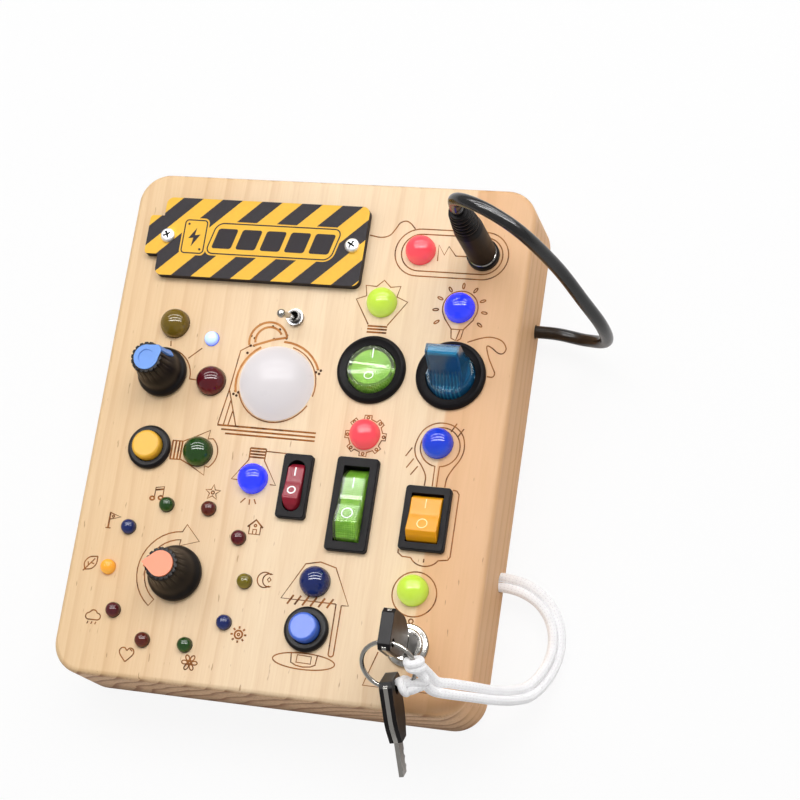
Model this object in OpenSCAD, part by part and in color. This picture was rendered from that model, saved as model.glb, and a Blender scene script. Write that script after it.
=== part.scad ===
// Wooden busy board: a pocketed pine block that carries rocker, toggle, rotary and push
// switches, coloured lamps, a dome light, a power jack and a key lock.
// Millimetres. The board lies on its back: X across, Y toward its top edge, Z out of the face.
// Origin: centre of the back face.

/* [Board] */
// Width of the board
board_w = 140; // [137:1:180]
// Height of the board
board_h = 175; // [173:1:220]
// Thickness of the board
board_t = 30; // [29.5:0.5:40]
// Corner radius seen from the front
corner_r = 10.5; // [8:0.5:14]
// Rounding of the front and back edges
edge_r = 2; // [1:0.25:3]
// Thickness of the side walls round the rear pocket
wall_t = 9; // [7.5:0.25:9]
// Thickness of the wood left behind the face
face_t = 5.5; // [5:0.25:6.5]
// Thickness of the back panel
panel_t = 3; // [2.5:0.25:4]

/* [Battery bay] */
// Width of the striped battery cover
cover_w = 72.6; // [72:0.2:80]
// Height of the striped battery cover
cover_h = 28.2; // [27.8:0.2:32]
// Thickness of the striped battery cover
cover_t = 3; // [2:0.25:4]
// Diameter of one battery cell
cell_d = 10.5; // [9:0.1:10.5]
// Length of one battery cell with its nub
cell_len = 44.5; // [40:0.5:46]

/* [Lamps] */
// Diameter of the large lamps
lamp_d = 10; // [8:0.5:11]
// Diameter of the small lamps
small_d = 5; // [4:0.25:5.5]
// Radius of the ring of small lamps
ring_r = 23.8; // [22:0.2:24]
// Diameter of the dome light
dome_d = 25.2; // [20:0.2:26]

/* [Rockers] */
// Half the throw of the plain rockers, degrees
rocker_tilt = 11; // [8:0.5:13]
// Half the throw of the duckbill rocker, degrees
bill_tilt = 15; // [10:0.5:16]
// Height of the duckbill above the face when upright
bill_h = 16.6; // [12:0.2:18]
// Diameter of the round rocker bezels
round_d = 23; // [21:0.5:24]

/* [Knobs and buttons] */
// Diameter of the knob shafts
shaft_d = 6; // [5:0.25:6.5]
// Height of the mode knob above the face
mode_h = 17.5; // [14:0.5:20]
// Height of the selector knob above the face
selector_h = 15; // [14:0.5:20]
// Travel of the push buttons
button_travel = 2.5; // [1.5:0.25:3]
// Lean of the toggle lever from upright, degrees
toggle_tilt = 14; // [8:1:15]

/* [Jack and lock] */
// Diameter of the plug's metal barrel
barrel_d = 5.5; // [4.5:0.1:5.8]
// Length of the plug's metal barrel
barrel_len = 9.5; // [8:0.5:10]
// Diameter of the turning lock core
core_d = 7.8; // [7:0.1:8.4]
// Thickness of the key plates
key_t = 1.4; // [1:0.1:1.8]

/* [Hidden] */
$fn = 64;
slip = 0.05; // radial clearance of turning and sliding fits
fit = 0.1; // radial clearance of parts dropped into holes
clear = 0.3; // clearance between moving faces
kx = board_w / 140; // positions spread with the board
ky = board_h / 175;
face_z = board_t;
under_z = board_t - face_t;
ledge = wall_t * 0.6; // width of the ledge the back panel sits on

// positions on the face
cover_at = [-21.7 * kx, 63.7 * ky];
red_at = [[33.2 * kx, 64.5 * ky], [24.1 * kx, 0.3 * ky], [-31.5 * kx, 14.2 * ky]];
green_at = [[22.8 * kx, 45.5 * ky], [47.6 * kx, -48.9 * ky], [-31.7 * kx, -10.3 * ky]];
blue_at = [[49.2 * kx, 45.4 * ky], [48.6 * kx, -0.6 * ky], [-11.2 * kx, -17.7 * ky],
    [15.4 * kx, -49.4 * ky]];
olive_at = [-47.9 * kx, 33.3 * ky];
spark_at = [-34 * kx, 29 * ky];
dome_at = [-8.6 * kx, 15.1 * ky];
ring_at = [-31.9 * kx, -51.7 * ky];
mode_at = [-49 * kx, 15.8 * ky];
yellow_at = [-48.9 * kx, -10.3 * ky];
press_at = [15.2 * kx, -65 * ky];
slim_at = [3.7 * kx, -19.2 * ky];
long_at = [23.8 * kx, -23.4 * ky];
wide_at = [48.4 * kx, -25.8 * ky];
round_at = [22.9 * kx, 22.2 * ky];
bill_at = [49.6 * kx, 22.2 * ky];
toggle_at = [-5.9 * kx, 38.2 * ky];
jack_at = [54.5 * kx, 64 * ky];
lock_at = [48.4 * kx, -66.4 * ky];

// rocker sizes: bezel width, bezel height, opening width, opening height
slim_s = [10, 21.5, 6.1, 17.1];
long_s = [14, 31, 8.6, 25];
wide_s = [15, 21, 10.6, 16];
bezel_t = 2.2;
skirt_in = 0.8; // the skirt is this much inside the bezel's rim
skirt_z = face_z - 12;
crease_h = 1.6;
pin_r = 1;
round_open = 8.3;
round_skirt = round_d / 2 - 1.5;

// battery bay
bay_z = face_z - 13.5;
island_z = bay_z - 3;
bay_w = cell_len + 9.5;
bay_h = 2 * cell_d + 4;
cover_spots = [-cover_w / 2 + 2.7, cover_w / 2 - 4.2]; // its two screws

// lamp sizes
lamp_r = lamp_d / 2;
small_r = small_d / 2;
lamp_tip = 5.6; // how far the large lamps stand out of the face
board_pcb_t = 1.6;
pcb_z = under_z - board_pcb_t;
small_flange = 1;

// shafts
shaft_r = shaft_d / 2;
bush_r = shaft_r + 1.5;
bush_z = face_z + 3.5;
shaft_nut_af = 2 * bush_r + 2.2;
nut_t = 2;
knob_z = face_z + 0.5;
switch_t = 12;
mode_switch_t = 9;

// buttons
button_hole = 6.6;
yellow_cap = 4.9;
press_cap = 4.7;
button_nut_af = 15.4;

// power jack and plug
jack_r = barrel_d / 2 + 1.3;
jack_top = face_z + 1.8;
ring_top = jack_top + 0.7;
plug_z = ring_top + clear;
plug_end = face_z + 39.8;
plug_r = 4.8;
cable_r = 2.1;

// lock and keys
lock_thread = 6;
lock_face = face_z + 2.4;
core_r = core_d / 2;
key_w = 6;
bow_w = 13;
bow_h = 20;
bow_z = face_z + 8;
cheek_t = 1.3;
cover_end = 0.9;
blade_len = 11;
loop_r = 8.5; // key ring centreline
wire_r = 0.7;
hole_y = -3.6; // ring hole in the key's bow, from the lock axis
hole_z = bow_z + 16.5;
dip = loop_r * 0.70711;
ring_c = [lock_at[0], lock_at[1] + hole_y - dip, hole_z - dip];
spare_c = [lock_at[0], lock_at[1] + hole_y - 2 * dip, hole_z - 2 * dip];
strand_r = 1.55;

// side holes
cable_hole = [46.5 * ky, 7];
cord_hole = [-39 * ky, 7.5];

// rectangle with rounded corners, centred
module round_rect(w, h, r) {
    square([w - 2 * r, h], center = true);
    square([w, h - 2 * r], center = true);
    for (sx = [-1, 1], sy = [-1, 1])
        translate([sx * (w / 2 - r), sy * (h / 2 - r)]) circle(r);
}

module plate(w, h, r, t) {
    linear_extrude(t) round_rect(w, h, r);
}

module hex(af, t) {
    cylinder(h = t, r = af / 1.73205, $fn = 6);
}

// disc with rounded rims, a corner of the board
module corner_puck() {
    e = edge_r;
    r = corner_r;
    t = board_t;
    low = [for (a = [0 : 15 : 90]) [r - e + e * sin(a), e - e * cos(a)]];
    high = [for (a = [90 : -15 : 0]) [r - e + e * sin(a), t - e + e * cos(a)]];
    rotate_extrude($fn = 48) polygon(concat([[0, 0]], low, high, [[0, t]]));
}

module block() {
    hull()
        for (sx = [-1, 1], sy = [-1, 1])
            translate([sx * (board_w / 2 - corner_r), sy * (board_h / 2 - corner_r), 0])
                corner_puck();
}

// lamp hole through the face
module face_hole(at, r) {
    translate([at[0], at[1], under_z - 1]) cylinder(h = face_t + 2, r = r);
}

module rect_cut(at, s) {
    translate([at[0], at[1], under_z + face_t / 2])
        cube([s[0] - 2 * skirt_in + 2 * fit, s[1] - 2 * skirt_in + 2 * fit, face_t + 2],
            center = true);
}

function ring_pos(i) = [ring_at[0] + ring_r * cos(36 * i), ring_at[1] + ring_r * sin(36 * i)];
panel_spots = [for (sx = [-1, 1], y = [-72, 4, 72])
    [sx * (board_w / 2 - wall_t + 0.45 * ledge), y * ky]];

module body() {
    difference() {
        block();
        // rear pocket, with the island left under the battery cover
        difference() {
            translate([0, 0, -1])
                plate(board_w - 2 * wall_t, board_h - 2 * wall_t, 4, under_z + 1);
            translate([-board_w / 2 + 1, cover_at[1] - bay_h / 2 - 4, island_z])
                cube([board_w / 2 + cover_at[0] + bay_w / 2 + 10, bay_h + 8, 40]);
        }
        // rebate of the back panel
        translate([0, 0, -1])
            plate(board_w - 2 * wall_t + 2 * ledge, board_h - 2 * wall_t + 2 * ledge,
                4 + ledge, panel_t + 1);
        for (p = panel_spots) translate([p[0], p[1], 0]) cylinder(h = panel_t + 8, r = 1.15);
        // battery bay and its wire hole
        translate([cover_at[0], cover_at[1], bay_z + 20])
            cube([bay_w, bay_h, 40], center = true);
        translate([cover_at[0] + bay_w / 2 - 2.2, cover_at[1] - bay_h / 2 + 2.2, island_z - 1])
            cylinder(h = 6, r = 1.8);
        for (x = cover_spots) translate([cover_at[0] + x, cover_at[1], face_z - 11])
            cylinder(h = 12, r = 1.45);
        // rocker cut-outs
        rect_cut(slim_at, slim_s);
        rect_cut(long_at, long_s);
        rect_cut(wide_at, wide_s);
        face_hole(round_at, round_skirt + fit);
        face_hole(bill_at, round_skirt + fit);
        // shafts, toggle, buttons, jack and lock
        face_hole(mode_at, bush_r + fit);
        face_hole(ring_at, bush_r + fit);
        face_hole(toggle_at, 2.2);
        face_hole(yellow_at, button_hole + fit);
        face_hole(press_at, button_hole + fit);
        face_hole(jack_at, jack_r + fit);
        face_hole(lock_at, lock_thread + fit);
        // large lamps
        for (p = concat(red_at, green_at, blue_at, [olive_at])) face_hole(p, lamp_r + fit);
        face_hole(spark_at, small_r + fit);
        // small lamps round the selector, with room for their flanges
        for (i = [0 : 9]) {
            face_hole(ring_pos(i), small_r + fit);
            translate([ring_pos(i)[0], ring_pos(i)[1], under_z - 1])
                cylinder(h = 1 + small_flange + 0.3, r = small_r + 0.6);
        }
        // dome light seat and the lamp behind it
        translate([dome_at[0], dome_at[1], face_z - 4]) cylinder(h = 6, r = dome_d / 2 + fit);
        face_hole(dome_at, small_r + fit);
        // side holes for the cable and the key cord
        translate([board_w / 2 - wall_t - 1, cable_hole[0], cable_hole[1]])
            rotate([0, 90, 0]) cylinder(h = wall_t + 2, r = cable_r + 0.3);
        translate([board_w / 2 - wall_t - 1, cord_hole[0], cord_hole[1]])
            rotate([0, 90, 0]) cylinder(h = wall_t + 2, r = 2 * strand_r + 0.2);
    }
}

module back_panel() {
    difference() {
        plate(board_w - 2 * wall_t + 2 * ledge - 0.4, board_h - 2 * wall_t + 2 * ledge - 0.4,
            3.8 + ledge, panel_t);
        for (p = panel_spots) translate([p[0], p[1], -1]) {
            cylinder(h = panel_t + 2, r = 1.3);
            cylinder(h = 1.42, r = 2.35);
            translate([0, 0, 1.4]) cylinder(h = 1.1, r1 = 2.35, r2 = 1.25);
        }
    }
}

module cross(w, d) {
    for (a = [0, 90]) rotate(a) translate([0, 0, d / 2]) cube([w, 0.6, d], center = true);
}

module back_screws() {
    for (p = panel_spots) translate([p[0], p[1], 0]) difference() {
        union() {
            cylinder(h = panel_t + 7, r = 1.1);
            cylinder(h = 0.35, r = 2.2);
            translate([0, 0, 0.3]) cylinder(h = 1.1, r1 = 2.2, r2 = 1.1);
        }
        translate([0, 0, -0.2]) cross(2.5, 1.2);
    }
}

module battery_cover() {
    translate([cover_at[0], cover_at[1], face_z]) difference() {
        union() {
            plate(cover_w, cover_h, 2.5, cover_t);
            translate([-cover_w / 2 - 1.5, 0.3, 0]) plate(7, 14, 1.2, cover_t);
        }
        for (x = cover_spots) translate([x, 0, -1]) cylinder(h = cover_t + 2, r = 1.6);
    }
}

module cover_screws() {
    for (x = cover_spots)
        translate([cover_at[0] + x, cover_at[1], face_z + cover_t]) difference() {
            union() {
                translate([0, 0, -cover_t - 9]) cylinder(h = cover_t + 9.1, r = 1.4);
                cylinder(h = 1, r = 2.5);
                translate([0, 0, 0.95]) cylinder(h = 0.7, r1 = 2.5, r2 = 1.7);
            }
            translate([0, 0, 0.7]) rotate(25) cross(3, 1.4);
        }
}

module battery_holder() {
    w = bay_w - 0.6;
    h = bay_h - 0.6;
    d = cell_d + 2;
    translate([cover_at[0], cover_at[1], bay_z]) difference() {
        translate([-w / 2, -h / 2, 0]) cube([w, h, d]);
        translate([-w / 2 + 1.2, -h / 2 + 1.2, 1.2]) cube([w - 2.4, h - 2.4, d]);
        // finger gap in the long walls
        for (s = [-1, 1]) translate([0, s * h / 2, d])
            cube([w * 0.45, 4, d], center = true);
    }
}

// contact plates and the coiled end contacts of the cells
module battery_contacts() {
    w = bay_w - 3;
    z = bay_z + 1.2;
    translate([cover_at[0], cover_at[1], z]) {
        translate([-w / 2, -cell_d, 0.2]) cube([0.5, 2 * cell_d, cell_d - 1.5]);
        for (s = [0, 1]) mirror([0, s, 0])
            translate([w / 2 - 0.5, 0.6, 0.2]) cube([0.5, cell_d - 0.6, cell_d - 1.5]);
        translate([-w / 2 + 0.45, cell_d / 2 + 0.2, cell_d / 2]) rotate([0, 90, 0]) coil();
        translate([w / 2 - 0.45, -cell_d / 2 - 0.2, cell_d / 2]) rotate([0, -90, 0]) coil();
    }
}

cell_shift = (bay_w - 3) / 2 - 0.5 - cell_len / 2;
module coil() {
    n = 9;
    rotate_extrude() for (i = [0 : n - 1])
        translate([3.4 - 0.14 * i, 0.4 + (2 * cell_shift - 0.85) * i / (n - 1)]) circle(0.42);
}

module battery_cells() {
    z = bay_z + 1.3 + cell_d / 2;
    for (s = [-1, 1]) translate([cover_at[0], cover_at[1] + s * (cell_d / 2 + 0.2), z])
        rotate([0, 90, 0]) mirror([0, 0, s > 0 ? 0 : 1])
            translate([0, 0, cell_shift - cell_len / 2]) cell();
}

module cell() {
    cylinder(h = cell_len - 1, r = cell_d / 2);
    translate([0, 0, cell_len - 1.1]) cylinder(h = 1.1, r = 1.9);
}

module control_board() {
    translate([ring_at[0], ring_at[1], pcb_z]) difference() {
        plate(55.6, 52.4, 2, board_pcb_t);
        translate([0, 0, -1]) cylinder(h = 4, r = bush_r + 0.2);
    }
}

// rectangular rocker switches; corner is the radius of the opening's corners
module housing(at, s, corner) {
    w = s[0] - 2 * skirt_in;
    h = s[1] - 2 * skirt_in;
    translate([at[0], at[1], 0]) difference() {
        union() {
            translate([0, 0, face_z]) plate(s[0], s[1], 1.2, bezel_t - 0.5);
            translate([0, 0, face_z + bezel_t - 0.5]) plate(s[0] - 0.8, s[1] - 0.8, 1, 0.5);
            translate([-w / 2, -h / 2, skirt_z]) cube([w, h, 12.1]);
            // snap lugs that hold the housing under the wood
            for (m = [0, 1]) mirror([0, m, 0])
                translate([-1.5, h / 2 - 0.3, under_z - 2]) cube([3, 0.9, 2]);
        }
        translate([0, 0, skirt_z + 1.5]) plate(s[2], s[3], corner, 20);
        translate([0, 0, face_z]) rotate([0, 90, 0])
            cylinder(h = s[2] + 1.4, r = pin_r + slip, center = true);
    }
}

// see-saw profile about its pivot, y across and z up: both halves rise from the crease to the
// edge e and fall from there to the end of the rocker
module seesaw_2d(r, e) {
    m = [(r + e[0]) / 2 + 0.25, (0.5 + e[1]) / 2 + 0.15];
    intersection() {
        circle(r);
        polygon([[-r, -4], [r, -4], [r, 0.5], m, e, [0, crease_h], [-e[0], e[1]],
            [-m[0], m[1]], [-r, 0.5]]);
    }
}

module seesaw(w, r, e, wall) {
    rotate([90, 0, 90]) difference() {
        linear_extrude(w, center = true) seesaw_2d(r, e);
        // hollow underneath
        linear_extrude(w - 2.4, center = true) difference() {
            translate([-r + wall, -5]) square([2 * (r - wall), 5 + crease_h - 1.2]);
            circle(2.2);
        }
    }
}

module pins(w) {
    rotate([0, 90, 0]) cylinder(h = w, r = pin_r, center = true);
}

module rect_rocker(at, s, e) {
    translate([at[0], at[1], face_z]) rotate([-rocker_tilt, 0, 0]) {
        seesaw(s[2] - 2 * 0.25, s[3] / 2 - 0.25, e, 1.6);
        pins(s[2] + 1.2);
    }
}

module slim_housing() housing(slim_at, slim_s, slim_s[2] / 2 - 0.01);
module long_housing() housing(long_at, long_s, 0.2);
module wide_housing() housing(wide_at, wide_s, 0.2);

// the slim rocker has rounded ends, turned about its pivot
module slim_rocker() {
    r = slim_s[3] / 2 - 0.25;
    w = slim_s[2] - 0.5;
    translate([slim_at[0], slim_at[1], face_z]) rotate([-rocker_tilt, 0, 0]) {
        intersection() {
            seesaw(w, r, [5.4, 3.9], 2.4);
            rotate([0, 90, 0]) rotate_extrude() {
                translate([r - w / 2, 0]) circle(w / 2);
                translate([0, -w / 2]) square([r - w / 2, w]);
            }
        }
        pins(slim_s[2] + 1.2);
    }
}

module long_rocker() rect_rocker(long_at, long_s, [7.8, 4.8]);
module wide_rocker() rect_rocker(wide_at, wide_s, [5.6, 4]);

// round rocker switches
module round_housing(at) {
    r = round_d / 2;
    translate([at[0], at[1], 0]) difference() {
        union() {
            // dished bezel
            translate([0, 0, face_z]) rotate_extrude() polygon([[0, 0], [r, 0], [r, 1],
                [r - 0.4, 1.8], [r - 1.2, bezel_t], [round_open + 1.3, bezel_t - 0.5],
                [round_open, bezel_t - 0.9], [0, bezel_t - 0.9]]);
            translate([0, 0, skirt_z]) cylinder(h = 12.1, r = round_skirt);
            for (a = [0, 180]) rotate(a)
                translate([-1.5, round_skirt - 0.4, under_z - 2]) cube([3, 1, 2]);
        }
        translate([0, 0, skirt_z + 1.5]) cylinder(h = 20, r = round_open);
        translate([0, 0, face_z]) rotate([0, 90, 0])
            cylinder(h = 2 * round_open + 1.8, r = pin_r + slip, center = true);
    }
}

module green_housing() round_housing(round_at);
module blue_housing() round_housing(bill_at);

module green_rocker() {
    r = round_open - 0.25;
    translate([round_at[0], round_at[1], face_z]) rotate([-rocker_tilt, 0, 0]) {
        difference() {
            intersection() {
                sphere(r);
                rotate([90, 0, 90]) linear_extrude(2 * r, center = true)
                    polygon([[-10, -4], [10, -4], [10, crease_h + 10 * tan(rocker_tilt)],
                        [0, crease_h], [-10, crease_h + 10 * tan(rocker_tilt)]]);
            }
            difference() {
                translate([0, 0, -5]) cylinder(h = 5 + crease_h - 1.2, r = r - 2.6);
                rotate([0, 90, 0]) cylinder(h = 20, r = 2.2, center = true);
            }
        }
        pins(2 * round_open + 1.6);
    }
}

// the duckbill rocker: a ribbed wedge on a ball base
module blue_rocker() {
    r = round_open - 0.25;
    w = 11;
    translate([bill_at[0], bill_at[1], face_z]) rotate([-bill_tilt, 0, 0]) {
        intersection() {
            sphere(r);
            translate([-20, -20, -4]) cube([40, 40, 6.6]);
        }
        difference() {
            rotate([90, 0, 90]) linear_extrude(w, center = true)
                polygon([[-5.6, 1], [-5.8, 2.5], [-3.2, 8], [-1.7, bill_h - 0.4],
                    [-1.3, bill_h], [1.3, bill_h], [1.7, bill_h - 0.4], [3.2, 8],
                    [5.8, 2.5], [5.6, 1]]);
            // grip ribs on both flanks
            for (m = [0, 1], i = [-4 : 4]) mirror([0, m, 0])
                translate([i * 1.15, -3.2, 8]) rotate([154.7, 0, 0])
                    cylinder(h = 6.6, r = 0.32, $fn = 16);
        }
        pins(2 * round_open + 1.6);
    }
}

// blade terminals under the five rocker switches
module terminals(at, ys, w) {
    for (y = ys) translate([at[0] - w / 2, at[1] + y - 0.4, skirt_z - 6.5])
        cube([w, 0.8, 6.5]);
}

module switch_terminals() {
    terminals(slim_at, [-5, 5], 2.8);
    terminals(long_at, [-9, 0, 9], 4.8);
    terminals(wide_at, [-5, 0, 5], 4.8);
    terminals(round_at, [-6, 0, 6], 4.8);
    terminals(bill_at, [-6, 0, 6], 4.8);
}

// toggle switch
pivot_z = face_z + 1;
module toggle_body() {
    translate([toggle_at[0], toggle_at[1], 0]) difference() {
        union() {
            translate([-3, -4.5, under_z - 8]) cube([6, 9, 8]);
            translate([0, 0, under_z - 1]) cylinder(h = face_t + 4, r = 2.1);
            for (y = [-3, 0, 3]) translate([-0.6, y - 0.4, under_z - 12]) cube([1.2, 0.8, 5]);
        }
        translate([0, 0, pivot_z - 4.2]) cylinder(h = 12, r = 1.5);
    }
}

module toggle_lever() {
    translate([toggle_at[0], toggle_at[1], pivot_z]) rotate([toggle_tilt, 0, 0]) {
        sphere(1.5 - slip);
        translate([0, 0, -3]) cylinder(h = 3, r = 0.6);
        cylinder(h = 14.7, r1 = 0.8, r2 = 1.1);
        translate([0, 0, 14.6]) sphere(1.45);
    }
}

// rotary switches: case under the face, threaded bush through it
module rotary(at, r, top, t) {
    translate([at[0], at[1], 0]) difference() {
        union() {
            translate([0, 0, top - t]) cylinder(h = t, r = r);
            translate([0, 0, top - 1]) cylinder(h = bush_z - top + 1, r = bush_r);
        }
        translate([0, 0, top - t + 2]) cylinder(h = 60, r = shaft_r + slip);
    }
}

module mode_switch() rotary(mode_at, 8.2, under_z, mode_switch_t);
module selector_switch() rotary(ring_at, 11, pcb_z, switch_t);

module shaft(at, low, high, turn) {
    translate([at[0], at[1], low]) rotate(turn) difference() {
        cylinder(h = high - low, r = shaft_r);
        // flat that keys the knob
        translate([shaft_r - 0.8, -5, bush_z - low + 0.5]) cube([3, 10, 40]);
    }
}

module mode_shaft() shaft(mode_at, under_z - mode_switch_t + 2.2, face_z + mode_h - 5, 40);
module selector_shaft()
    shaft(ring_at, pcb_z - switch_t + 2.2, face_z + selector_h - 5, 180);

// fluted knob with a skirt, a shaft bore and room for the panel nut
module knob(base_r, top_r, h, drop) {
    top = h - 0.5;
    difference() {
        rotate_extrude() polygon([[0, 0], [base_r - 0.2, 0], [base_r, 0.3], [base_r, 1.6],
            [base_r - 0.3, 2.1], [base_r - 1.3, 3.6], [top_r + 1.5, top * 0.42],
            [top_r + 0.5, top * 0.66], [top_r, top - 0.4], [top_r - 0.4, top], [0, top]]);
        translate([0, 0, -1]) cylinder(h = 1 + bush_z - knob_z + 0.5,
            r = shaft_nut_af / 1.73205 + 0.4);
        difference() {
            cylinder(h = top - 4.3, r = shaft_r + 0.02);
            translate([shaft_r - 0.78, -5, bush_z - knob_z + 0.6]) cube([3, 10, 40]);
        }
        // seat of the coloured cap
        translate([0, 0, top - 0.8]) cylinder(h = 2, r = 4.25 + 0.05);
        if (drop) translate([0, 0, top - 0.8]) cap_tail(2, top_r, 0.05);
        // flutes
        for (i = [0 : 17]) rotate(i * 20 + 10) translate([top_r + 0.75, 0, top * 0.36])
            rotate([0, -4, 0]) cylinder(h = top, r = 0.55, $fn = 16);
        pointer(top_r, h, 0.05);
    }
}

// pointer bar down the side of a knob, joined to its cap
module pointer(top_r, h, gap) {
    top = h - 0.5;
    intersection() {
        translate([3, -1.2 - gap, top * 0.5 - gap]) cube([8, 2.4 + 2 * gap, top]);
        rotate_extrude() polygon([[0, 0], [top_r + 2.1, top * 0.42], [top_r + 1, top * 0.66],
            [top_r + 0.45, top - 0.3], [top_r + 0.2, top + 0.3], [0, top + 0.3]]);
        difference() {
            cylinder(h = top + 0.3, r = 20);
            translate([0, 0, -1]) cylinder(h = top + 0.2, r = 3.9 - gap);
        }
    }
}

// tail that widens the cap toward its pointer
module cap_tail(t, top_r, gap) {
    linear_extrude(t) polygon([[1.9, -3.75 - gap], [top_r + 0.1, -1.2 - gap],
        [top_r + 0.1, 1.2 + gap], [1.9, 3.75 + gap]]);
}

module cap(top_r, h) {
    top = h - 0.5;
    translate([0, 0, top - 0.8]) difference() {
        cap_tail(1.1, top_r, 0);
        translate([0, 0, -1]) cylinder(h = 3, r = 4);
    }
    translate([0, 0, top - 0.8]) difference() {
        cylinder(h = 1.1, r = 4.25);
        translate([0, 0, 0.75]) cylinder(h = 1, r = 2.6);
    }
    pointer(top_r, h, 0);
}

module mode_knob() translate([mode_at[0], mode_at[1], knob_z]) rotate(40)
    knob(8.5, 5.4, mode_h, true);
module mode_cap() translate([mode_at[0], mode_at[1], knob_z]) rotate(40) cap(5.4, mode_h);
module selector_knob()
    translate([ring_at[0], ring_at[1], knob_z]) rotate(180)
        knob(9.15, 5.6, selector_h, false);

// the selector's cap is a flat teardrop that ends in the pointer
module selector_cap() {
    top = selector_h - 0.5;
    translate([ring_at[0], ring_at[1], knob_z]) rotate(180) {
        translate([0, 0, top - 0.8]) cylinder(h = 0.85, r = 4.25);
        translate([0, 0, top]) linear_extrude(0.8) {
            circle(4.25);
            polygon([[2.87, -3.14], [6.4, 0], [2.87, 3.14]]);
        }
        pointer(5.6, selector_h, 0);
    }
}

module nut(at, z, af, t, bore) {
    translate([at[0], at[1], z]) difference() {
        hex(af, t);
        translate([0, 0, -1]) cylinder(h = t + 2, r = bore);
    }
}

module panel_nuts() {
    nut(mode_at, face_z, shaft_nut_af, nut_t, bush_r + slip);
    nut(ring_at, face_z, shaft_nut_af, nut_t, bush_r + slip);
    translate([toggle_at[0], toggle_at[1], face_z]) difference() {
        cylinder(h = 1.6, r = 2.9);
        translate([0, 0, -1]) cylinder(h = 4, r = 2.15);
    }
    nut(yellow_at, under_z - nut_t, button_nut_af, nut_t, button_hole + slip);
    nut(press_at, under_z - nut_t, button_nut_af, nut_t, button_hole + slip);
    nut(jack_at, under_z - nut_t, 2 * jack_r + 2.4, nut_t, jack_r + slip);
    nut(lock_at, under_z - nut_t, 14.4, nut_t, lock_thread + slip);
}

// push buttons: barrel, bezel and a plunger with its stem and stop collar
module button_body(at, bezel_r, cap_r) {
    translate([at[0], at[1], 0]) difference() {
        union() {
            translate([0, 0, face_z]) rotate_extrude() polygon([[0, 0], [bezel_r, 0],
                [bezel_r, 1.4], [bezel_r - 0.8, bezel_t], [0, bezel_t]]);
            translate([0, 0, face_z - 15]) cylinder(h = 15.1, r = button_hole);
        }
        translate([0, 0, face_z - 2.5]) cylinder(h = 20, r = cap_r + 0.2);
        translate([0, 0, face_z - 8]) cylinder(h = 10, r = 3);
        translate([0, 0, face_z - 13.5]) cylinder(h = 6, r = 4.2);
    }
}

module button_cap(at, cap_r, top) {
    low = clear + button_travel - 2.5;
    translate([at[0], at[1], face_z]) {
        rotate_extrude() polygon([[0, low], [cap_r, low], [cap_r, top - 1],
            [cap_r - 0.3, top - 0.4], [cap_r - 1, top], [0, top]]);
        translate([0, 0, -9.5]) cylinder(h = 9.6 + low, r = 2.95);
        translate([0, 0, -9.8]) cylinder(h = 1.5, r = 3.9);
    }
}

module yellow_button_body() button_body(yellow_at, 7.4, yellow_cap);
module yellow_button_cap() button_cap(yellow_at, yellow_cap, 5.2);
module blue_button_body() button_body(press_at, 7.3, press_cap);
module blue_button_cap() button_cap(press_at, press_cap, 6);

// domed lamp with a flange under the face and two leads
module lamp(at, r, z, flange, ft, tip, leads) {
    translate([at[0], at[1], 0]) {
        translate([0, 0, z]) cylinder(h = ft, r = flange);
        translate([0, 0, z]) cylinder(h = tip - r - z, r = r);
        translate([0, 0, tip - r]) intersection() {
            sphere(r);
            translate([-r, -r, -0.01]) cube([2 * r, 2 * r, r + 1]);
        }
        if (leads > 0)
            for (s = [-1, 1]) translate([s * 1.27 - 0.25, -0.25, z - leads])
                cube([0.5, 0.5, leads + 0.1]);
    }
}

module big_lamp(at) {
    lamp(at, lamp_r, under_z - 2, lamp_r + 0.6, 2, face_z + lamp_tip, 6);
}

module ring_lamp(i) {
    lamp(ring_pos(i), small_r, under_z, small_r + 0.4, small_flange, under_z + 8.6, 0);
}

module red_lamps() for (p = red_at) big_lamp(p);
module green_lamps() for (p = green_at) big_lamp(p);
module blue_lamps() for (p = blue_at) big_lamp(p);
module olive_lamp() big_lamp(olive_at);
module ring_lamps_red() for (i = [1, 2, 6, 7]) ring_lamp(i);
module ring_lamps_green() for (i = [0, 3, 8]) ring_lamp(i);
module ring_lamps_blue() for (i = [4, 9]) ring_lamp(i);
module ring_lamp_amber() ring_lamp(5);
module small_lamps() {
    lamp(spark_at, small_r, under_z - 1, small_r + 0.4, 1, face_z + 2.6, 6);
    lamp(dome_at, small_r, under_z - 1, small_r + 0.4, 1, face_z + 2.6, 6);
}

// thin translucent dome standing in its seat
module dome() {
    r = dome_d / 2;
    c = face_z - 0.6;
    translate([dome_at[0], dome_at[1], 0]) difference() {
        union() {
            translate([0, 0, face_z - 4]) cylinder(h = c - face_z + 4, r = r);
            translate([0, 0, c]) sphere(r);
        }
        translate([0, 0, face_z - 5]) cylinder(h = c - face_z + 5.01, r = r - 1.3);
        translate([0, 0, c]) sphere(r - 1.3);
        translate([0, 0, face_z - 24]) cylinder(h = 20, r = r + 1);
    }
}

// power jack
module jack_body() {
    translate([jack_at[0], jack_at[1], 0]) {
        difference() {
            union() {
                translate([0, 0, face_z - 15]) cylinder(h = 15.1, r = jack_r);
                translate([0, 0, face_z]) cylinder(h = 1.8, r = 5.4);
            }
            translate([0, 0, face_z - 12]) cylinder(h = 20, r = barrel_d / 2 + slip);
        }
        // centre pin
        translate([0, 0, face_z - 12.1]) cylinder(h = 10, r = 0.95);
        translate([0, 0, face_z - 2.2]) sphere(0.95);
    }
}

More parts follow.
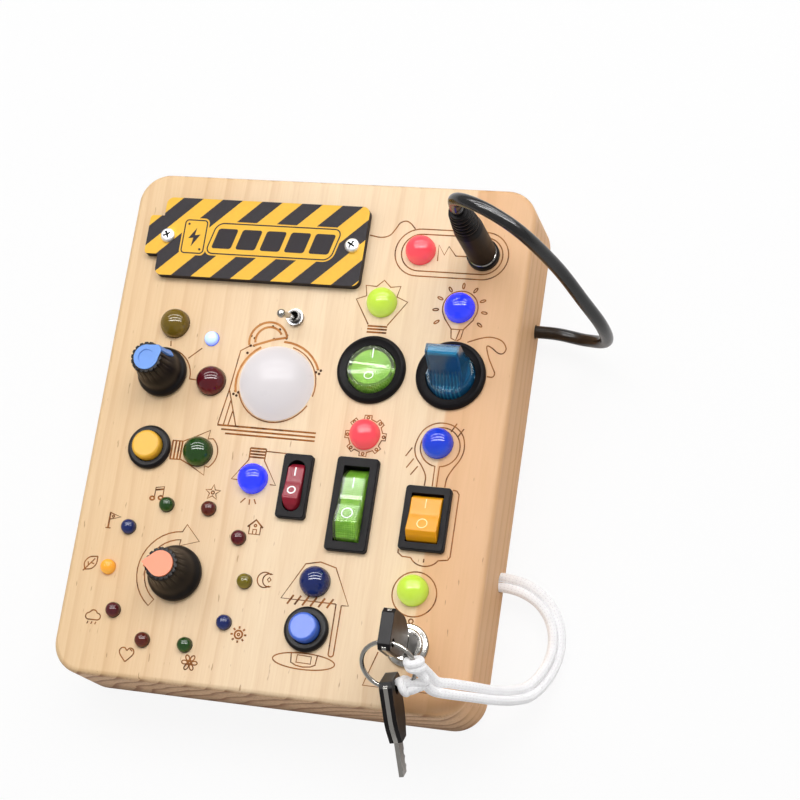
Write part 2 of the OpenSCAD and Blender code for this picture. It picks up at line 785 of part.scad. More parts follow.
module jack_ring() {
    translate([jack_at[0], jack_at[1], jack_top]) rotate_extrude()
        polygon([[3.2, 0], [4.8, 0], [4.8, 0.4], [4.5, 0.7], [3.4, 0.7], [3.2, 0.5]]);
}

// moulded plug with a ringed strain relief
module plug() {
    h = plug_end - plug_z;
    translate([jack_at[0], jack_at[1], plug_z]) difference() {
        union() {
            rotate_extrude() polygon([[0, 0], [plug_r - 0.6, 0], [plug_r, 0.6],
                [plug_r, h * 0.6], [plug_r - 0.4, h * 0.66], [4.1, h * 0.7],
                [3.7, h * 0.74], [3.2, h], [0, h]]);
            for (i = [0 : 4]) translate([0, 0, h * (0.7 + 0.055 * i)])
                cylinder(h = h * 0.03, r = 4.4 - 0.2 * i);
        }
        translate([0, 0, -1]) cylinder(h = 3.5, r = barrel_d / 2);
    }
}

module plug_barrel() {
    translate([jack_at[0], jack_at[1], plug_z - barrel_len]) difference() {
        cylinder(h = barrel_len + 2.5, r = barrel_d / 2);
        translate([0, 0, -1]) cylinder(h = barrel_len, r = 1.05);
    }
}

// key lock
module lock_body() {
    translate([lock_at[0], lock_at[1], 0]) difference() {
        union() {
            translate([0, 0, face_z - 18]) cylinder(h = 18.1, r = lock_thread);
            translate([0, 0, face_z]) rotate_extrude() polygon([[0, 0], [7, 0], [7, 0.7],
                [6.6, 1.2], [5.4, 1.4], [5.25, 2], [4.9, 2.4], [0, 2.4]]);
        }
        translate([0, 0, face_z - 16.5]) cylinder(h = 30, r = core_r + slip);
    }
}

module lock_core() {
    translate([lock_at[0], lock_at[1], face_z - 16.3]) difference() {
        cylinder(h = 16.3 + 2.2, r = core_r);
        translate([0, 0, 12]) cube([key_t + 0.1, key_w + 0.1, 20], center = true);
    }
}

// key head of thickness t in the plane of the blade: it widens from the blade at z = 0 and ends,
// with its corners cut, at z = top
module head(t, top) {
    w = bow_w / 2;
    rotate([90, 0, 90]) translate([0, 0, -t / 2]) linear_extrude(t)
        polygon([[-3.3, 0], [3.3, 0], [w - 0.7, 5], [w, 8], [w, bow_h - 1.6],
            [w - 1.6 + bow_h - top, top], [-w + 1.6 - bow_h + top, top], [-w, bow_h - 1.6],
            [-w, 8], [-w + 0.7, 5]]);
}

// moulded cover of a key's head: two cheeks joined over the free end
module cover() {
    difference() {
        head(key_t + 2 * cheek_t, bow_h);
        translate([-key_t / 2, -bow_w, -1]) cube([key_t, 2 * bow_w, bow_h + 1 - cover_end]);
    }
}

module key_blade() {
    translate([lock_at[0], lock_at[1], 0]) difference() {
        union() {
            translate([0, 0, bow_z]) head(key_t, bow_h - cover_end);
            translate([-key_t / 2, -key_w / 2, bow_z - blade_len])
                cube([key_t, key_w, blade_len + 0.1]);
        }
        // bitting cuts
        for (i = [0 : 2]) translate([0, key_w / 2, bow_z - 5 - 2.7 * i]) rotate([0, 90, 0])
            cylinder(h = 4, r = 0.9 + 0.2 * (i % 2), center = true);
        translate([0, hole_y, hole_z]) rotate([0, 90, 0])
            cylinder(h = 10, r = 1.4, center = true);
    }
}

module key_bow() {
    translate([lock_at[0], lock_at[1], bow_z]) difference() {
        cover();
        translate([0, hole_y, hole_z - bow_z]) rotate([0, 90, 0])
            cylinder(h = 10, r = 1.4, center = true);
    }
}

module key_ring() {
    translate(ring_c) rotate([45, 0, 0]) rotate_extrude() translate([loop_r, 0]) circle(wire_r);
}

// place a piece on the ring's lowest point: its z runs along the spare key
module at_spare() {
    translate(spare_c) rotate([0, 0, 11]) rotate([118, 0, 0]) children();
}

spare_hole = 3.6; // from the end of the bow to the ring hole
module spare_key() {
    at_spare() difference() {
        union() {
            translate([0, 0, bow_h - spare_hole]) rotate([180, 0, 0])
                head(key_t, bow_h - cover_end);
            translate([-key_t / 2, -key_w / 2, bow_h - spare_hole - 0.1])
                cube([key_t, key_w, blade_len + 0.1]);
        }
        for (i = [0 : 2]) translate([0, -key_w / 2, bow_h - spare_hole + 5 + 2.7 * i])
            rotate([0, 90, 0]) cylinder(h = 4, r = 0.9 + 0.2 * (i % 2), center = true);
        rotate([0, 90, 0]) cylinder(h = 10, r = 2.1, center = true);
    }
}

module spare_key_bow() {
    at_spare() difference() {
        translate([0, 0, bow_h - spare_hole]) rotate([180, 0, 0]) cover();
        rotate([0, 90, 0]) cylinder(h = 10, r = 2.1, center = true);
    }
}

// routes of the cable and of the two strands of the key cord, for the board at its own size
cable_route = [[54.5, 64, 69.8], [54.5, 64, 71.8], [54.5, 64, 74], [56, 63.4, 80.4], [61, 61, 85.6],
    [68.7, 57.6, 87], [78.2, 53.2, 81.8], [86.7, 49, 64.6], [93, 44, 49], [97, 41, 34.5],
    [96, 41.2, 19], [88, 43.8, 10], [78, 46, 7.6], [70, 46.5, 7], [63, 46.5, 7],
    [56, 46.5, 7]];
outer_route = [[60.9, -37.4, 7.5], [66, -37.4, 7.5], [72, -37.4, 7.5], [79.2, -38.8, 6.6],
    [85.8, -43, 4.5], [90, -50, 2.6], [91, -58.7, 2.2], [89, -67.5, 4.6], [85.5, -74.3, 9.9],
    [81.5, -77.4, 16.5], [77, -79.2, 24.2], [71.6, -80.2, 31.6], [65.7, -80.9, 37],
    [61.4, -81, 40.4], [59.4, -79.7, 43.7]];
inner_route = [[60.9, -40.6, 7.5], [66, -40.6, 7.5], [72, -40.6, 7.5], [78.1, -41.8, 7],
    [83.9, -45.2, 5.8], [87.8, -51.1, 4.7], [88.9, -58.6, 4.9], [87.2, -66, 7.1],
    [83.8, -71.9, 11.4], [79.8, -74.6, 17], [75.6, -76.2, 24.4], [70.8, -77, 31.8],
    [65.6, -77.5, 36.6], [62.1, -77.9, 39.5], [60.2, -76.6, 42.9]];
// the routes' ends follow the jack, the lock and the side holes
hole_shift = [board_w / 2 - 70, 0, 0];
cable_shift = hole_shift + [0, cable_hole[0] - 46.5, 0];
cord_shift = hole_shift + [0, cord_hole[0] + 39, 0];
jack_shift = [jack_at[0] - 54.5, jack_at[1] - 64, face_z - 30];
lock_shift = [lock_at[0] - 48.4, lock_at[1] + 66.4, face_z - 30];
knot_c = ring_c + [loop_r, 0, 0];

function unit(v) = v / norm(v);
function moved(p, s0, s1, a, b) = [for (i = [0 : len(p) - 1])
    let (w = max(0, min(1, (i - a) / (b - a)))) p[i] + s0 * (1 - w) + s1 * w];
function spline(p, n) = let (m = len(p)) [for (i = [0 : m - 2], k = [0 : n - 1])
    let (t = k / n, b = p[i], c = p[i + 1],
        a = i == 0 ? 2 * b - c : p[i - 1],
        d = i == m - 2 ? 2 * c - b : p[i + 2])
    (2 * b + (c - a) * t + (2 * a - 5 * b + 4 * c - d) * t * t
        + (3 * b - a - 3 * c + d) * t * t * t) / 2, p[m - 1]];
function tangents(q) = [for (i = [0 : len(q) - 1])
    unit(q[min(i + 1, len(q) - 1)] - q[max(i - 1, 0)])];
function normals(t, up) = [for (i = 0, n = unit(cross(t[0], up)); i < len(t);
    i = i + 1, n = i < len(t) ? unit(n - (n * t[i]) * t[i]) : n) n];

// round tube of m sides along points q
module tube(q, r, m, up) {
    t = tangents(q);
    n = normals(t, up);
    last = len(q) - 1;
    points = [for (i = [0 : last], k = [0 : m - 1])
        q[i] + r * (cos(360 * k / m) * n[i] + sin(360 * k / m) * cross(t[i], n[i]))];
    sides = [for (i = [0 : last - 1], k = [0 : m - 1], h = [0, 1])
        let (a = i * m + k, b = a + m, c = (i + 1) * m + (k + 1) % m, d = i * m + (k + 1) % m)
        h == 0 ? [a, b, c] : [a, c, d]];
    polyhedron(points, concat([[for (k = [0 : m - 1]) k]], sides,
        [[for (k = [m - 1 : -1 : 0]) last * m + k]]));
}

module plug_cable() {
    tube(spline(moved(cable_route, jack_shift, cable_shift, 3, 12), 3), cable_r, 10, [0, 1, 0]);
}

// the doubled key cord and the stop knot inside the board
module key_cord() {
    for (p = [outer_route, inner_route])
        tube(spline(moved(p, cord_shift, lock_shift, 2, 11), 3), strand_r, 8, [0, 0, 1]);
    translate([board_w / 2 - wall_t - 4.2, cord_hole[0], cord_hole[1]]) rotate([0, 90, 0]) {
        rotate_extrude() {
            for (z = [-2.3, 0, 2.3]) translate([2.6, z]) circle(1.6);
            translate([0, -2.3]) square([2.6, 4.6]);
        }
    }
}

// hitch that wraps the key ring, with the collar the strands run into
module cord_knot() {
    difference() {
        union() {
            translate(ring_c) rotate([45, 0, 0]) for (a = [-27, -9, 9, 27]) rotate(a)
                translate([loop_r, 0, 0]) rotate([90, 0, 0]) rotate_extrude()
                    translate([wire_r + strand_r, 0]) circle(strand_r);
            translate(knot_c) rotate([0, 145.4, -36.2]) translate([0, 0, 2.6])
                cylinder(h = 3.6, r = 3.3);
        }
        translate(ring_c) rotate([45, 0, 0]) rotate_extrude() translate([loop_r, 0])
            circle(wire_r + slip);
    }
}

color("#e6c08a") body();
color("#d9b27c") back_panel();
color("#b8bcc0") back_screws();
color("#e8b51c") battery_cover();
color("#b8bcc0") cover_screws();
color("#1c1c1e") battery_holder();
color("#c4c8cc") battery_contacts();
color("#3f6f9f") battery_cells();
color("#1d6b3c") control_board();
color("#141416") slim_housing();
color("#8a1424") slim_rocker();
color("#141416") long_housing();
color("#46b82e") long_rocker();
color("#141416") wide_housing();
color("#f0a818") wide_rocker();
color("#141416") green_housing();
color("#4fc23a") green_rocker();
color("#141416") blue_housing();
color("#1f6fae") blue_rocker();
color("#c4c8cc") switch_terminals();
color("#c4c8cc") toggle_body();
color("#c4c8cc") toggle_lever();
color("#5c6066") mode_switch();
color("#c4c8cc") mode_shaft();
color("#141416") mode_knob();
color("#4d8fe6") mode_cap();
color("#5c6066") selector_switch();
color("#c4c8cc") selector_shaft();
color("#141416") selector_knob();
color("#f58454") selector_cap();
color("#c4c8cc") panel_nuts();
color("#141416") yellow_button_body();
color("#f0c022") yellow_button_cap();
color("#141416") blue_button_body();
color("#2f66d8") blue_button_cap();
color("#e8404a") red_lamps();
color("#7cc92a") green_lamps();
color("#2a4fe0") blue_lamps();
color("#857312") olive_lamp();
color("#7a1d22") ring_lamps_red();
color("#3c6a1e") ring_lamps_green();
color("#20357e") ring_lamps_blue();
color("#f59a1e") ring_lamp_amber();
color("#dfe8f8") small_lamps();
color("#f4f2ee") dome();
color("#141416") jack_body();
color("#c4c8cc") jack_ring();
color("#161618") plug();
color("#c4c8cc") plug_barrel();
color("#161618") plug_cable();
color("#c4c8cc") lock_body();
color("#b4b8bc") lock_core();
color("#c4c8cc") key_blade();
color("#141416") key_bow();
color("#c4c8cc") key_ring();
color("#c4c8cc") spare_key();
color("#141416") spare_key_bow();
color("#f2f2f0") key_cord();
color("#f2f2f0") cord_knot();
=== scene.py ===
"""Looks of a wooden busy board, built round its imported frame.

Each sub-assembly is a class that builds and dresses its own pieces, and main() runs them
in order. Lengths are millimetres where meshes are drawn, and metres in the finishes, the
camera and the lights unless a name ends in _mm. Meshes are made in metres.
"""

import logging
import math
from collections.abc import Callable, Iterable, Mapping, Sequence
from dataclasses import dataclass
from enum import Enum

import bmesh
import bpy
from mathutils import Matrix, Vector


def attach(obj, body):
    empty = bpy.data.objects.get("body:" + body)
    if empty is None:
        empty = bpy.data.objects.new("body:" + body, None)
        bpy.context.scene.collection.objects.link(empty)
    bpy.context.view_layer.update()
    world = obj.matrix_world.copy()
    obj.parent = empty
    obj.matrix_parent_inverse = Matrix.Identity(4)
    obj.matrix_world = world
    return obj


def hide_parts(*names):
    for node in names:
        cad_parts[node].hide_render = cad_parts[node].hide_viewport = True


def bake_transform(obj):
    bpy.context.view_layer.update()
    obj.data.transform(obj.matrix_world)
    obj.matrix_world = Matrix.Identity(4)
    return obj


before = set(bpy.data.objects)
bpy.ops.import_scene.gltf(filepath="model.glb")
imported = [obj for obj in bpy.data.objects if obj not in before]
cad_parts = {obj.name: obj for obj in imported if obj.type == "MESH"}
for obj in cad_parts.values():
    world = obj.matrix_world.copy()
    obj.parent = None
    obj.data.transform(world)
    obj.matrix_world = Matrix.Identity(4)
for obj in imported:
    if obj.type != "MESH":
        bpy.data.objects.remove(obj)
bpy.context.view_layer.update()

LOG = logging.getLogger("busy_board")
MM = 0.001
FACE = 30.0  # height of the board's face
WHITE = (1.0, 1.0, 1.0, 1.0)
Colour = tuple[float, float, float, float]
Point = Sequence[float]
Thing = bpy.types.Object
Socket = bpy.types.NodeSocket


# --- node helpers


def srgb(red: float, green: float, blue: float) -> Colour:
    """Turns an 8-bit display colour into the linear colour that Blender mixes.

    Args:
        red: Red, 0 to 255.
        green: Green, 0 to 255.
        blue: Blue, 0 to 255.

    Returns:
        The linear colour, with alpha 1.
    """
    def linear(value: float) -> float:
        """Returns one channel without its display curve."""
        v = value / 255
        return v / 12.92 if v <= 0.04045 else ((v + 0.055) / 1.055) ** 2.4

    return linear(red), linear(green), linear(blue), 1.0


def grey(level: float) -> Colour:
    """Returns a linear grey."""
    return level, level, level, 1.0


def scaled(colour: Colour, factor: float) -> Colour:
    """Returns the colour made lighter or darker by a factor, held to 1."""
    return tuple(min(1.0, c * factor) for c in colour[:3]) + (1.0,)


class Nodes:
    """Adds nodes to a node tree and feeds them."""

    def __init__(self, tree: bpy.types.NodeTree) -> None:
        """Takes the tree, and empties it."""
        self.tree = tree
        self.tree.nodes.clear()

    def feed(self, socket: Socket, value: object) -> None:
        """Links an output to a socket, or sets the socket to a plain value."""
        if isinstance(value, Socket):
            self.tree.links.new(value, socket)
        else:
            socket.default_value = value

    def add(self, kind: str, feeds: Mapping[str | int, object] | None = None,
            **settings: object) -> bpy.types.Node:
        """Adds a node.

        Args:
            kind: The node's type.
            feeds: Outputs or plain values for its inputs, by name or number.
            settings: Its properties.

        Returns:
            The node.
        """
        node = self.tree.nodes.new(kind)
        for name, value in settings.items():
            setattr(node, name, value)
        for key, value in (feeds or {}).items():
            self.feed(node.inputs[key], value)
        return node

    def math(self, way: str, a: object, b: object = 0.0, c: object = 0.0) -> Socket:
        """Returns the result of one Math node."""
        return self.add("ShaderNodeMath", {0: a, 1: b, 2: c}, operation=way).outputs[0]

    def span(self, value: object, low: float, high: float, start: float = 0.0,
             end: float = 1.0) -> Socket:
        """Maps a value from start..end to low..high, held to those ends."""
        return self.add("ShaderNodeMapRange", {
            "Value": value, "From Min": start, "From Max": end, "To Min": low,
            "To Max": high}).outputs[0]


class Graph(Nodes):
    """Adds shader nodes to one new material round a Principled shader."""

    def __init__(self, name: str) -> None:
        """Makes the material, under its name."""
        self.material = bpy.data.materials.new(name)
        self.material.use_nodes = True
        super().__init__(self.material.node_tree)
        self.shader = self.add("ShaderNodeBsdfPrincipled")
        self.output = self.add("ShaderNodeOutputMaterial", {0: self.shader.outputs[0]})

    def set(self, **sockets: object) -> None:
        """Sets the shader's sockets; an underscore in a name stands for a space."""
        for name, value in sockets.items():
            self.feed(self.shader.inputs[name.replace("_", " ")], value)

    def coords(self, scale: Point = (1, 1, 1), shift: Point = (0, 0, 0),
               source: str = "Object") -> Socket:
        """Returns texture coordinates in metres.

        Args:
            scale: Stretch of the pattern's space along each axis.
            shift: Shift of the pattern's space, in metres.
            source: Output of the Texture Coordinate node.

        Returns:
            The mapped coordinates.
        """
        where = self.add("ShaderNodeTexCoord").outputs[source]
        return self.add("ShaderNodeMapping", {"Vector": where, "Scale": scale,
                                              "Location": shift}).outputs[0]

    def normal(self) -> Sequence[Socket]:
        """Returns the x, y and z of the surface's normal."""
        return self.split(self.add("ShaderNodeTexCoord").outputs["Normal"])

    def attribute(self, name: str) -> Socket:
        """Returns a number that the mesh carries."""
        return self.add("ShaderNodeAttribute", attribute_name=name).outputs["Fac"]

    def noise(self, where: Socket, scale: float, detail: float = 3, rough: float = 0.55,
              twist: float = 0) -> Socket:
        """Returns a noise value.

        Args:
            where: Coordinates.
            scale: Cells per metre.
            detail: Layers of finer noise.
            rough: Share of each finer layer.
            twist: Distortion of the pattern.

        Returns:
            The noise, about 0 to 1.
        """
        return self.add("ShaderNodeTexNoise", {
            "Vector": where, "Scale": scale, "Detail": detail, "Roughness": rough,
            "Distortion": twist}).outputs[0]

    def ramp(self, value: object, stops: Mapping[float, Colour], step: bool = False
             ) -> Socket:
        """Returns a colour from a ramp.

        Args:
            value: The place on the ramp, 0 to 1.
            stops: The colour at each place.
            step: Hold each colour up to the next stop.

        Returns:
            The colour.
        """
        node = self.add("ShaderNodeValToRGB", {0: value})
        band = node.color_ramp
        band.interpolation = "CONSTANT" if step else "LINEAR"
        while len(band.elements) < len(stops):
            band.elements.new(0.5)
        for element, (at, colour) in zip(band.elements, stops.items()):
            element.position, element.color = at, colour
        return node.outputs[0]

    def mix(self, share: object, a: object, b: object) -> Socket:
        """Returns two colours mixed."""
        return self.add("ShaderNodeMix", {0: share, 6: a, 7: b}, data_type="RGBA").outputs[2]

    def split(self, vector: Socket) -> Sequence[Socket]:
        """Returns a vector's x, y and z."""
        return self.add("ShaderNodeSeparateXYZ", {0: vector}).outputs

    def bump(self, height: Socket, depth_mm: float) -> None:
        """Gives the shader a bump of that depth."""
        node = self.add("ShaderNodeBump", {"Strength": 1.0, "Distance": depth_mm * MM,
                                           "Height": height})
        self.set(Normal=node.outputs[0])


# --- finishes


@dataclass(frozen=True)
class Finish:
    """A surface finish, built as a material the first time it is used."""

    name: str
    colour: Colour
    roughness: float = 0.5

    def material(self) -> bpy.types.Material:
        """Returns the finish's material."""
        found = bpy.data.materials.get(self.name)
        if found is None:
            graph = Graph(self.name)
            self.paint(graph)
            found = graph.material
        return found

    def paint(self, graph: Graph) -> None:
        """Adds the finish's nodes."""
        raise NotImplementedError

    def tones(self, graph: Graph, by: Socket, low: float, high: float) -> Socket:
        """Returns the colour, darker where a value is low and lighter where it is high."""
        return graph.mix(by, scaled(self.colour, low), scaled(self.colour, high))

    def gloss(self, graph: Graph, by: Socket, low: float, high: float, start: float = 0.0,
              end: float = 1.0) -> None:
        """Makes the roughness follow a value from start..end, low to high times its own."""
        graph.set(Roughness=graph.span(by, self.roughness * low, self.roughness * high,
                                       start, end))


@dataclass(frozen=True)
class Moulded(Finish):
    """Moulded plastic or rubber with a fine grain."""

    grain_mm: float = 0.3
    relief_mm: float = 0.012
    variation: float = 0.12
    specular: float = 0.5
    clear: float = 0.0
    glow: float = 0.0

    def paint(self, graph: Graph) -> None:
        """Adds uneven tone, grain and gloss."""
        place = graph.coords()
        cloud = graph.noise(place, 180, 3)
        fine = graph.noise(place, 1000 / self.grain_mm, 2)
        tone = self.tones(graph, cloud, 1 - self.variation, 1 + self.variation)
        graph.set(Base_Color=tone, Specular_IOR_Level=self.specular,
                  Transmission_Weight=self.clear)
        self.gloss(graph, cloud, 0.8, 1.2)
        # a glow of its own: lamp light in the milky dome, painted light on the I and O marks
        if self.glow:
            graph.set(Emission_Color=tone, Emission_Strength=self.glow)
        graph.bump(fine, self.relief_mm)


@dataclass(frozen=True)
class Metal(Finish):
    """Plated or drawn metal with fine marks along one axis."""

    brush: Point = (600, 600, 40)
    marks_mm: float = 0.003

    def paint(self, graph: Graph) -> None:
        """Adds drawn lines and a few dull patches."""
        lines = graph.noise(graph.coords(scale=self.brush), 10, 4, 0.6)
        patches = graph.noise(graph.coords(), 260, 4, 0.6)
        graph.set(Metallic=1.0, Base_Color=self.tones(graph, patches, 0.86, 1.08))
        self.gloss(graph, graph.math("ADD", lines, patches), 0.7, 1.4, 0.7, 1.3)
        graph.bump(lines, self.marks_mm)


@dataclass(frozen=True)
class Pine(Finish):
    """Lacquered pine: growth rings about a far heart, fine grain along Y, brown flecks.

    The right-hand stave, from x = 50 mm on, is heartwood.
    """

    heart: Point = (0.115, -0.105)
    ring_m: float = 0.0056
    stave_x: float = 0.050

    def paint(self, graph: Graph) -> None:
        """Adds the rings, grain, flecks and end grain, with painted shade low on the end
        grain.
        """
        x, y, z = graph.split(graph.coords())
        drift = graph.noise(graph.coords(scale=(1, 0.16, 1)), 22, 3, 0.5)
        far_x = graph.math("SUBTRACT", x, self.heart[0])
        far_z = graph.math("SUBTRACT", z, self.heart[1])
        radius = graph.math("SQRT", graph.math(
            "ADD", graph.math("MULTIPLY", far_x, far_x),
            graph.math("MULTIPLY", far_z, far_z)))
        radius = graph.math("ADD", radius, graph.math("MULTIPLY", drift, 0.020))
        ring = graph.math("FRACT", graph.math("DIVIDE", radius, self.ring_m))
        late = graph.ramp(ring, {0.0: grey(0), 0.55: grey(0.12), 0.86: grey(0.9),
                                 0.93: grey(1), 1.0: grey(0.05)})
        across = graph.span(x, 0, 1, -0.070, 0.070)
        sap = graph.ramp(across, {
            0.0: srgb(237, 203, 157), 0.16: srgb(239, 204, 158), 0.30: srgb(243, 211, 170),
            0.50: srgb(247, 220, 183), 0.66: srgb(245, 216, 178), 0.80: srgb(246, 218, 180),
            0.851: srgb(240, 207, 165), 0.857: srgb(228, 176, 126),
            0.91: srgb(235, 185, 136), 1.0: srgb(230, 182, 136)})
        patch = graph.noise(graph.coords(scale=(1, 0.18, 1)), 45, 4, 0.55)
        warm = graph.mix(graph.span(patch, 0.0, 0.30, 0.42, 0.78), sap, srgb(230, 186, 134))
        depth = graph.math("MULTIPLY", late, graph.span(patch, 0.08, 0.36, 0.3, 0.75))
        depth = graph.math("MULTIPLY", depth, graph.span(x, 1.0, 1.6, self.stave_x,
                                                         self.stave_x + 0.0005))
        ringed = graph.mix(depth, warm, srgb(203, 146, 88))
        # fine fibres
        fibre = graph.noise(graph.coords(scale=(1, 0.035, 1)), 1500, 4, 0.65)
        fibred = graph.mix(graph.span(fibre, 0.0, 0.24, 0.40, 0.78), ringed,
                           srgb(214, 166, 112))
        # short brown flecks, more of them toward the lower left
        fleck = graph.noise(graph.coords(scale=(1, 0.16, 1), shift=(0.7, 0.2, 0)), 900, 2,
                            0.5)
        low = graph.span(y, 0.045, 0.0, -0.0875, 0.03)
        left = graph.span(x, 0.02, 0.0, -0.07, 0.02)
        edge = graph.math("SUBTRACT", 0.735, graph.math("ADD", low, left))
        flecks = graph.span(graph.math("SUBTRACT", fleck, edge), 0.0, 0.6, 0.0, 0.04)
        face = graph.mix(flecks, fibred, srgb(168, 112, 66))
        # the two ends of the board show the rings
        ended = graph.span(graph.math("ABSOLUTE", graph.normal()[1]), 0.0, 1.0, 0.55, 0.95)
        pores = graph.noise(graph.coords(), 1400, 3, 0.6)
        end_wood = graph.mix(late, srgb(224, 184, 142), srgb(160, 108, 72))
        end_wood = graph.mix(graph.span(pores, 0.0, 0.5, 0.45, 0.75), end_wood,
                             srgb(134, 92, 64))
        # painted shade: the end grain darkens toward the floor, where the bottom side faces
        # away from the light
        end_wood = graph.mix(graph.span(z, 0.6, 0.0, 0.001, 0.014), end_wood,
                             srgb(112, 72, 48))
        graph.set(Base_Color=graph.mix(ended, face, end_wood), Specular_IOR_Level=0.22)
        self.gloss(graph, fibre, 0.85, 1.15, 0.3, 0.7)
        graph.bump(graph.math("ADD", fibre, graph.math("MULTIPLY", late, 0.5)), 0.010)


@dataclass(frozen=True)
class Plywood(Finish):
    """Sanded plywood: broad figure on the face, thin plies on the edges."""

    ply_m: float = 0.001

    def paint(self, graph: Graph) -> None:
        """Adds the figure, the plies and small pores."""
        figure = graph.noise(graph.coords(scale=(1, 0.12, 1)), 90, 4, 0.6, 1.2)
        fibre = graph.noise(graph.coords(scale=(1, 0.05, 1)), 1100, 3, 0.6)
        face = self.tones(graph, figure, 0.84, 1.1)
        face = graph.mix(graph.span(fibre, 0, 0.4, 0.45, 0.8), face,
                         scaled(self.colour, 0.62))
        z = graph.split(graph.coords())[2]
        ply = graph.math("FRACT", graph.math("DIVIDE", z, self.ply_m * 2))
        edge = graph.ramp(ply, {0: scaled(self.colour, 1.05), 0.5: scaled(self.colour, 0.6)},
                          step=True)
        flat = graph.span(graph.math("ABSOLUTE", graph.normal()[2]), 0, 1, 0.4, 0.7)
        graph.set(Base_Color=graph.mix(flat, edge, face))
        self.gloss(graph, figure, 0.9, 1.1)
        graph.bump(fibre, 0.02)


@dataclass(frozen=True)
class Burnt(Finish):
    """Laser-burnt line: brown that darkens in short lengths where the beam slowed."""

    dark: Colour = srgb(88, 48, 22)

    def paint(self, graph: Graph) -> None:
        """Adds the uneven scorch."""
        place = graph.coords()
        pulse = graph.noise(place, 240, 3, 0.6)
        fine = graph.noise(place, 2600, 2)
        tone = graph.mix(graph.span(pulse, 0, 1, 0.44, 0.66), self.colour, self.dark)
        graph.set(Base_Color=graph.mix(graph.span(fine, 0, 0.16, 0.4, 0.7), tone,
                                       srgb(196, 136, 80)), Specular_IOR_Level=0.15,
                  Roughness=graph.span(fine, self.roughness * 0.9, 1.0))
        graph.bump(fine, 0.02)


@dataclass(frozen=True)
class Hazard(Finish):
    """Printed plate: yellow and black stripes leaning right at 45 degrees, black edges."""

    dark: Colour = srgb(43, 38, 42)
    period_m: float = 0.01425
    phase_m: float = 0.0125

    def paint(self, graph: Graph) -> None:
        """Adds the stripes, the print's fine dots and the dark cut edge."""
        x, y, _ = graph.split(graph.coords())
        ragged = graph.math("MULTIPLY", graph.noise(graph.coords(), 1300, 2), 0.00018)
        lean = graph.math("SUBTRACT", graph.math("SUBTRACT", x, y),
                          graph.math("ADD", ragged, self.phase_m - 0.1425))
        stripe = graph.math("FRACT", graph.math("DIVIDE", lean, self.period_m))
        black = graph.math("LESS_THAN", stripe, 0.505)
        cloud = graph.noise(graph.coords(), 700, 3)
        yellow = self.tones(graph, cloud, 0.93, 1.07)
        ink = graph.mix(cloud, scaled(self.dark, 0.8), scaled(self.dark, 1.3))
        top = graph.math("GREATER_THAN", graph.normal()[2], 0.80)
        graph.set(Base_Color=graph.mix(top, scaled(self.dark, 0.7),
                                       graph.mix(black, yellow, ink)),
                  Specular_IOR_Level=0.1)
        self.gloss(graph, cloud, 0.85, 1.15)
        graph.bump(graph.noise(graph.coords(), 2400, 2), 0.01)


@dataclass(frozen=True)
class Lens(Finish):
    """Tinted lens of a lamp, lit from inside or dark.

    The mesh carries "depth", 0 at the tip and 1 at the foot, along which the tint darkens as
    painted shade, and a number that is 1 where painted light stands for daylight collecting
    inside the lens.
    """

    glow: float = 0.0
    inner: Colour | None = None
    foot: Colour | None = None

    def paint(self, graph: Graph) -> None:
        """Adds the tint with painted shade toward the foot, painted light on one side inside
        it, and the lamp's own light.
        """
        depth, painted_light_side = graph.attribute("depth"), graph.attribute("painted_light_side")
        cloud = graph.noise(graph.coords(), 300, 2)
        inner = self.inner or scaled(self.colour, 2.1)
        # painted shade: the tint darkens toward the foot, at the lens rim
        rim = self.foot or scaled(self.colour, 0.78 if self.glow else 0.5)
        body = graph.mix(graph.span(depth, 0, 1, 0.35, 1.0), self.colour, rim)
        # painted light: daylight collecting on one side inside the lens, in the inner colour
        painted_light_share = graph.math("MULTIPLY", painted_light_side, graph.span(cloud, 0.75, 1.0))
        tone = graph.mix(painted_light_share, body, inner)
        graph.set(Base_Color=tone, Specular_IOR_Level=0.4)
        if self.glow:
            graph.set(Emission_Color=tone, Emission_Strength=self.glow)
        self.gloss(graph, cloud, 0.8, 1.3)
        graph.bump(graph.noise(graph.coords(), 500, 2), 0.004)


@dataclass(frozen=True)
class Hatched(Finish):
    """Inner moulding of a clear rocker, with a fine crossed hatch in its top."""

    pale: Colour = srgb(204, 240, 132)
    glow: float = 0.2
    pitch_m: float = 0.0006

    def paint(self, graph: Graph) -> None:
        """Adds the hatch, cloudy patches and a little painted glow."""
        lines = [graph.math("SINE", graph.math("MULTIPLY", axis, math.tau / self.pitch_m))
                 for axis in graph.split(graph.coords())[:2]]
        hatch = graph.math("MAXIMUM", *lines)
        cloud = graph.noise(graph.coords(), 420, 4, 0.65)
        pale = graph.math("MULTIPLY", graph.span(hatch, 0, 0.85, 0.3, 1.0),
                          graph.span(cloud, 0.1, 1.0, 0.38, 0.62))
        tone = graph.mix(pale, self.colour, self.pale)
        tone = graph.mix(graph.span(cloud, 0, 0.35, 0.5, 0.8), tone,
                         scaled(self.colour, 0.6))
        graph.set(Base_Color=tone, Emission_Color=tone, Emission_Strength=self.glow)
        self.gloss(graph, cloud, 0.7, 1.3)
        graph.bump(hatch, 0.03)


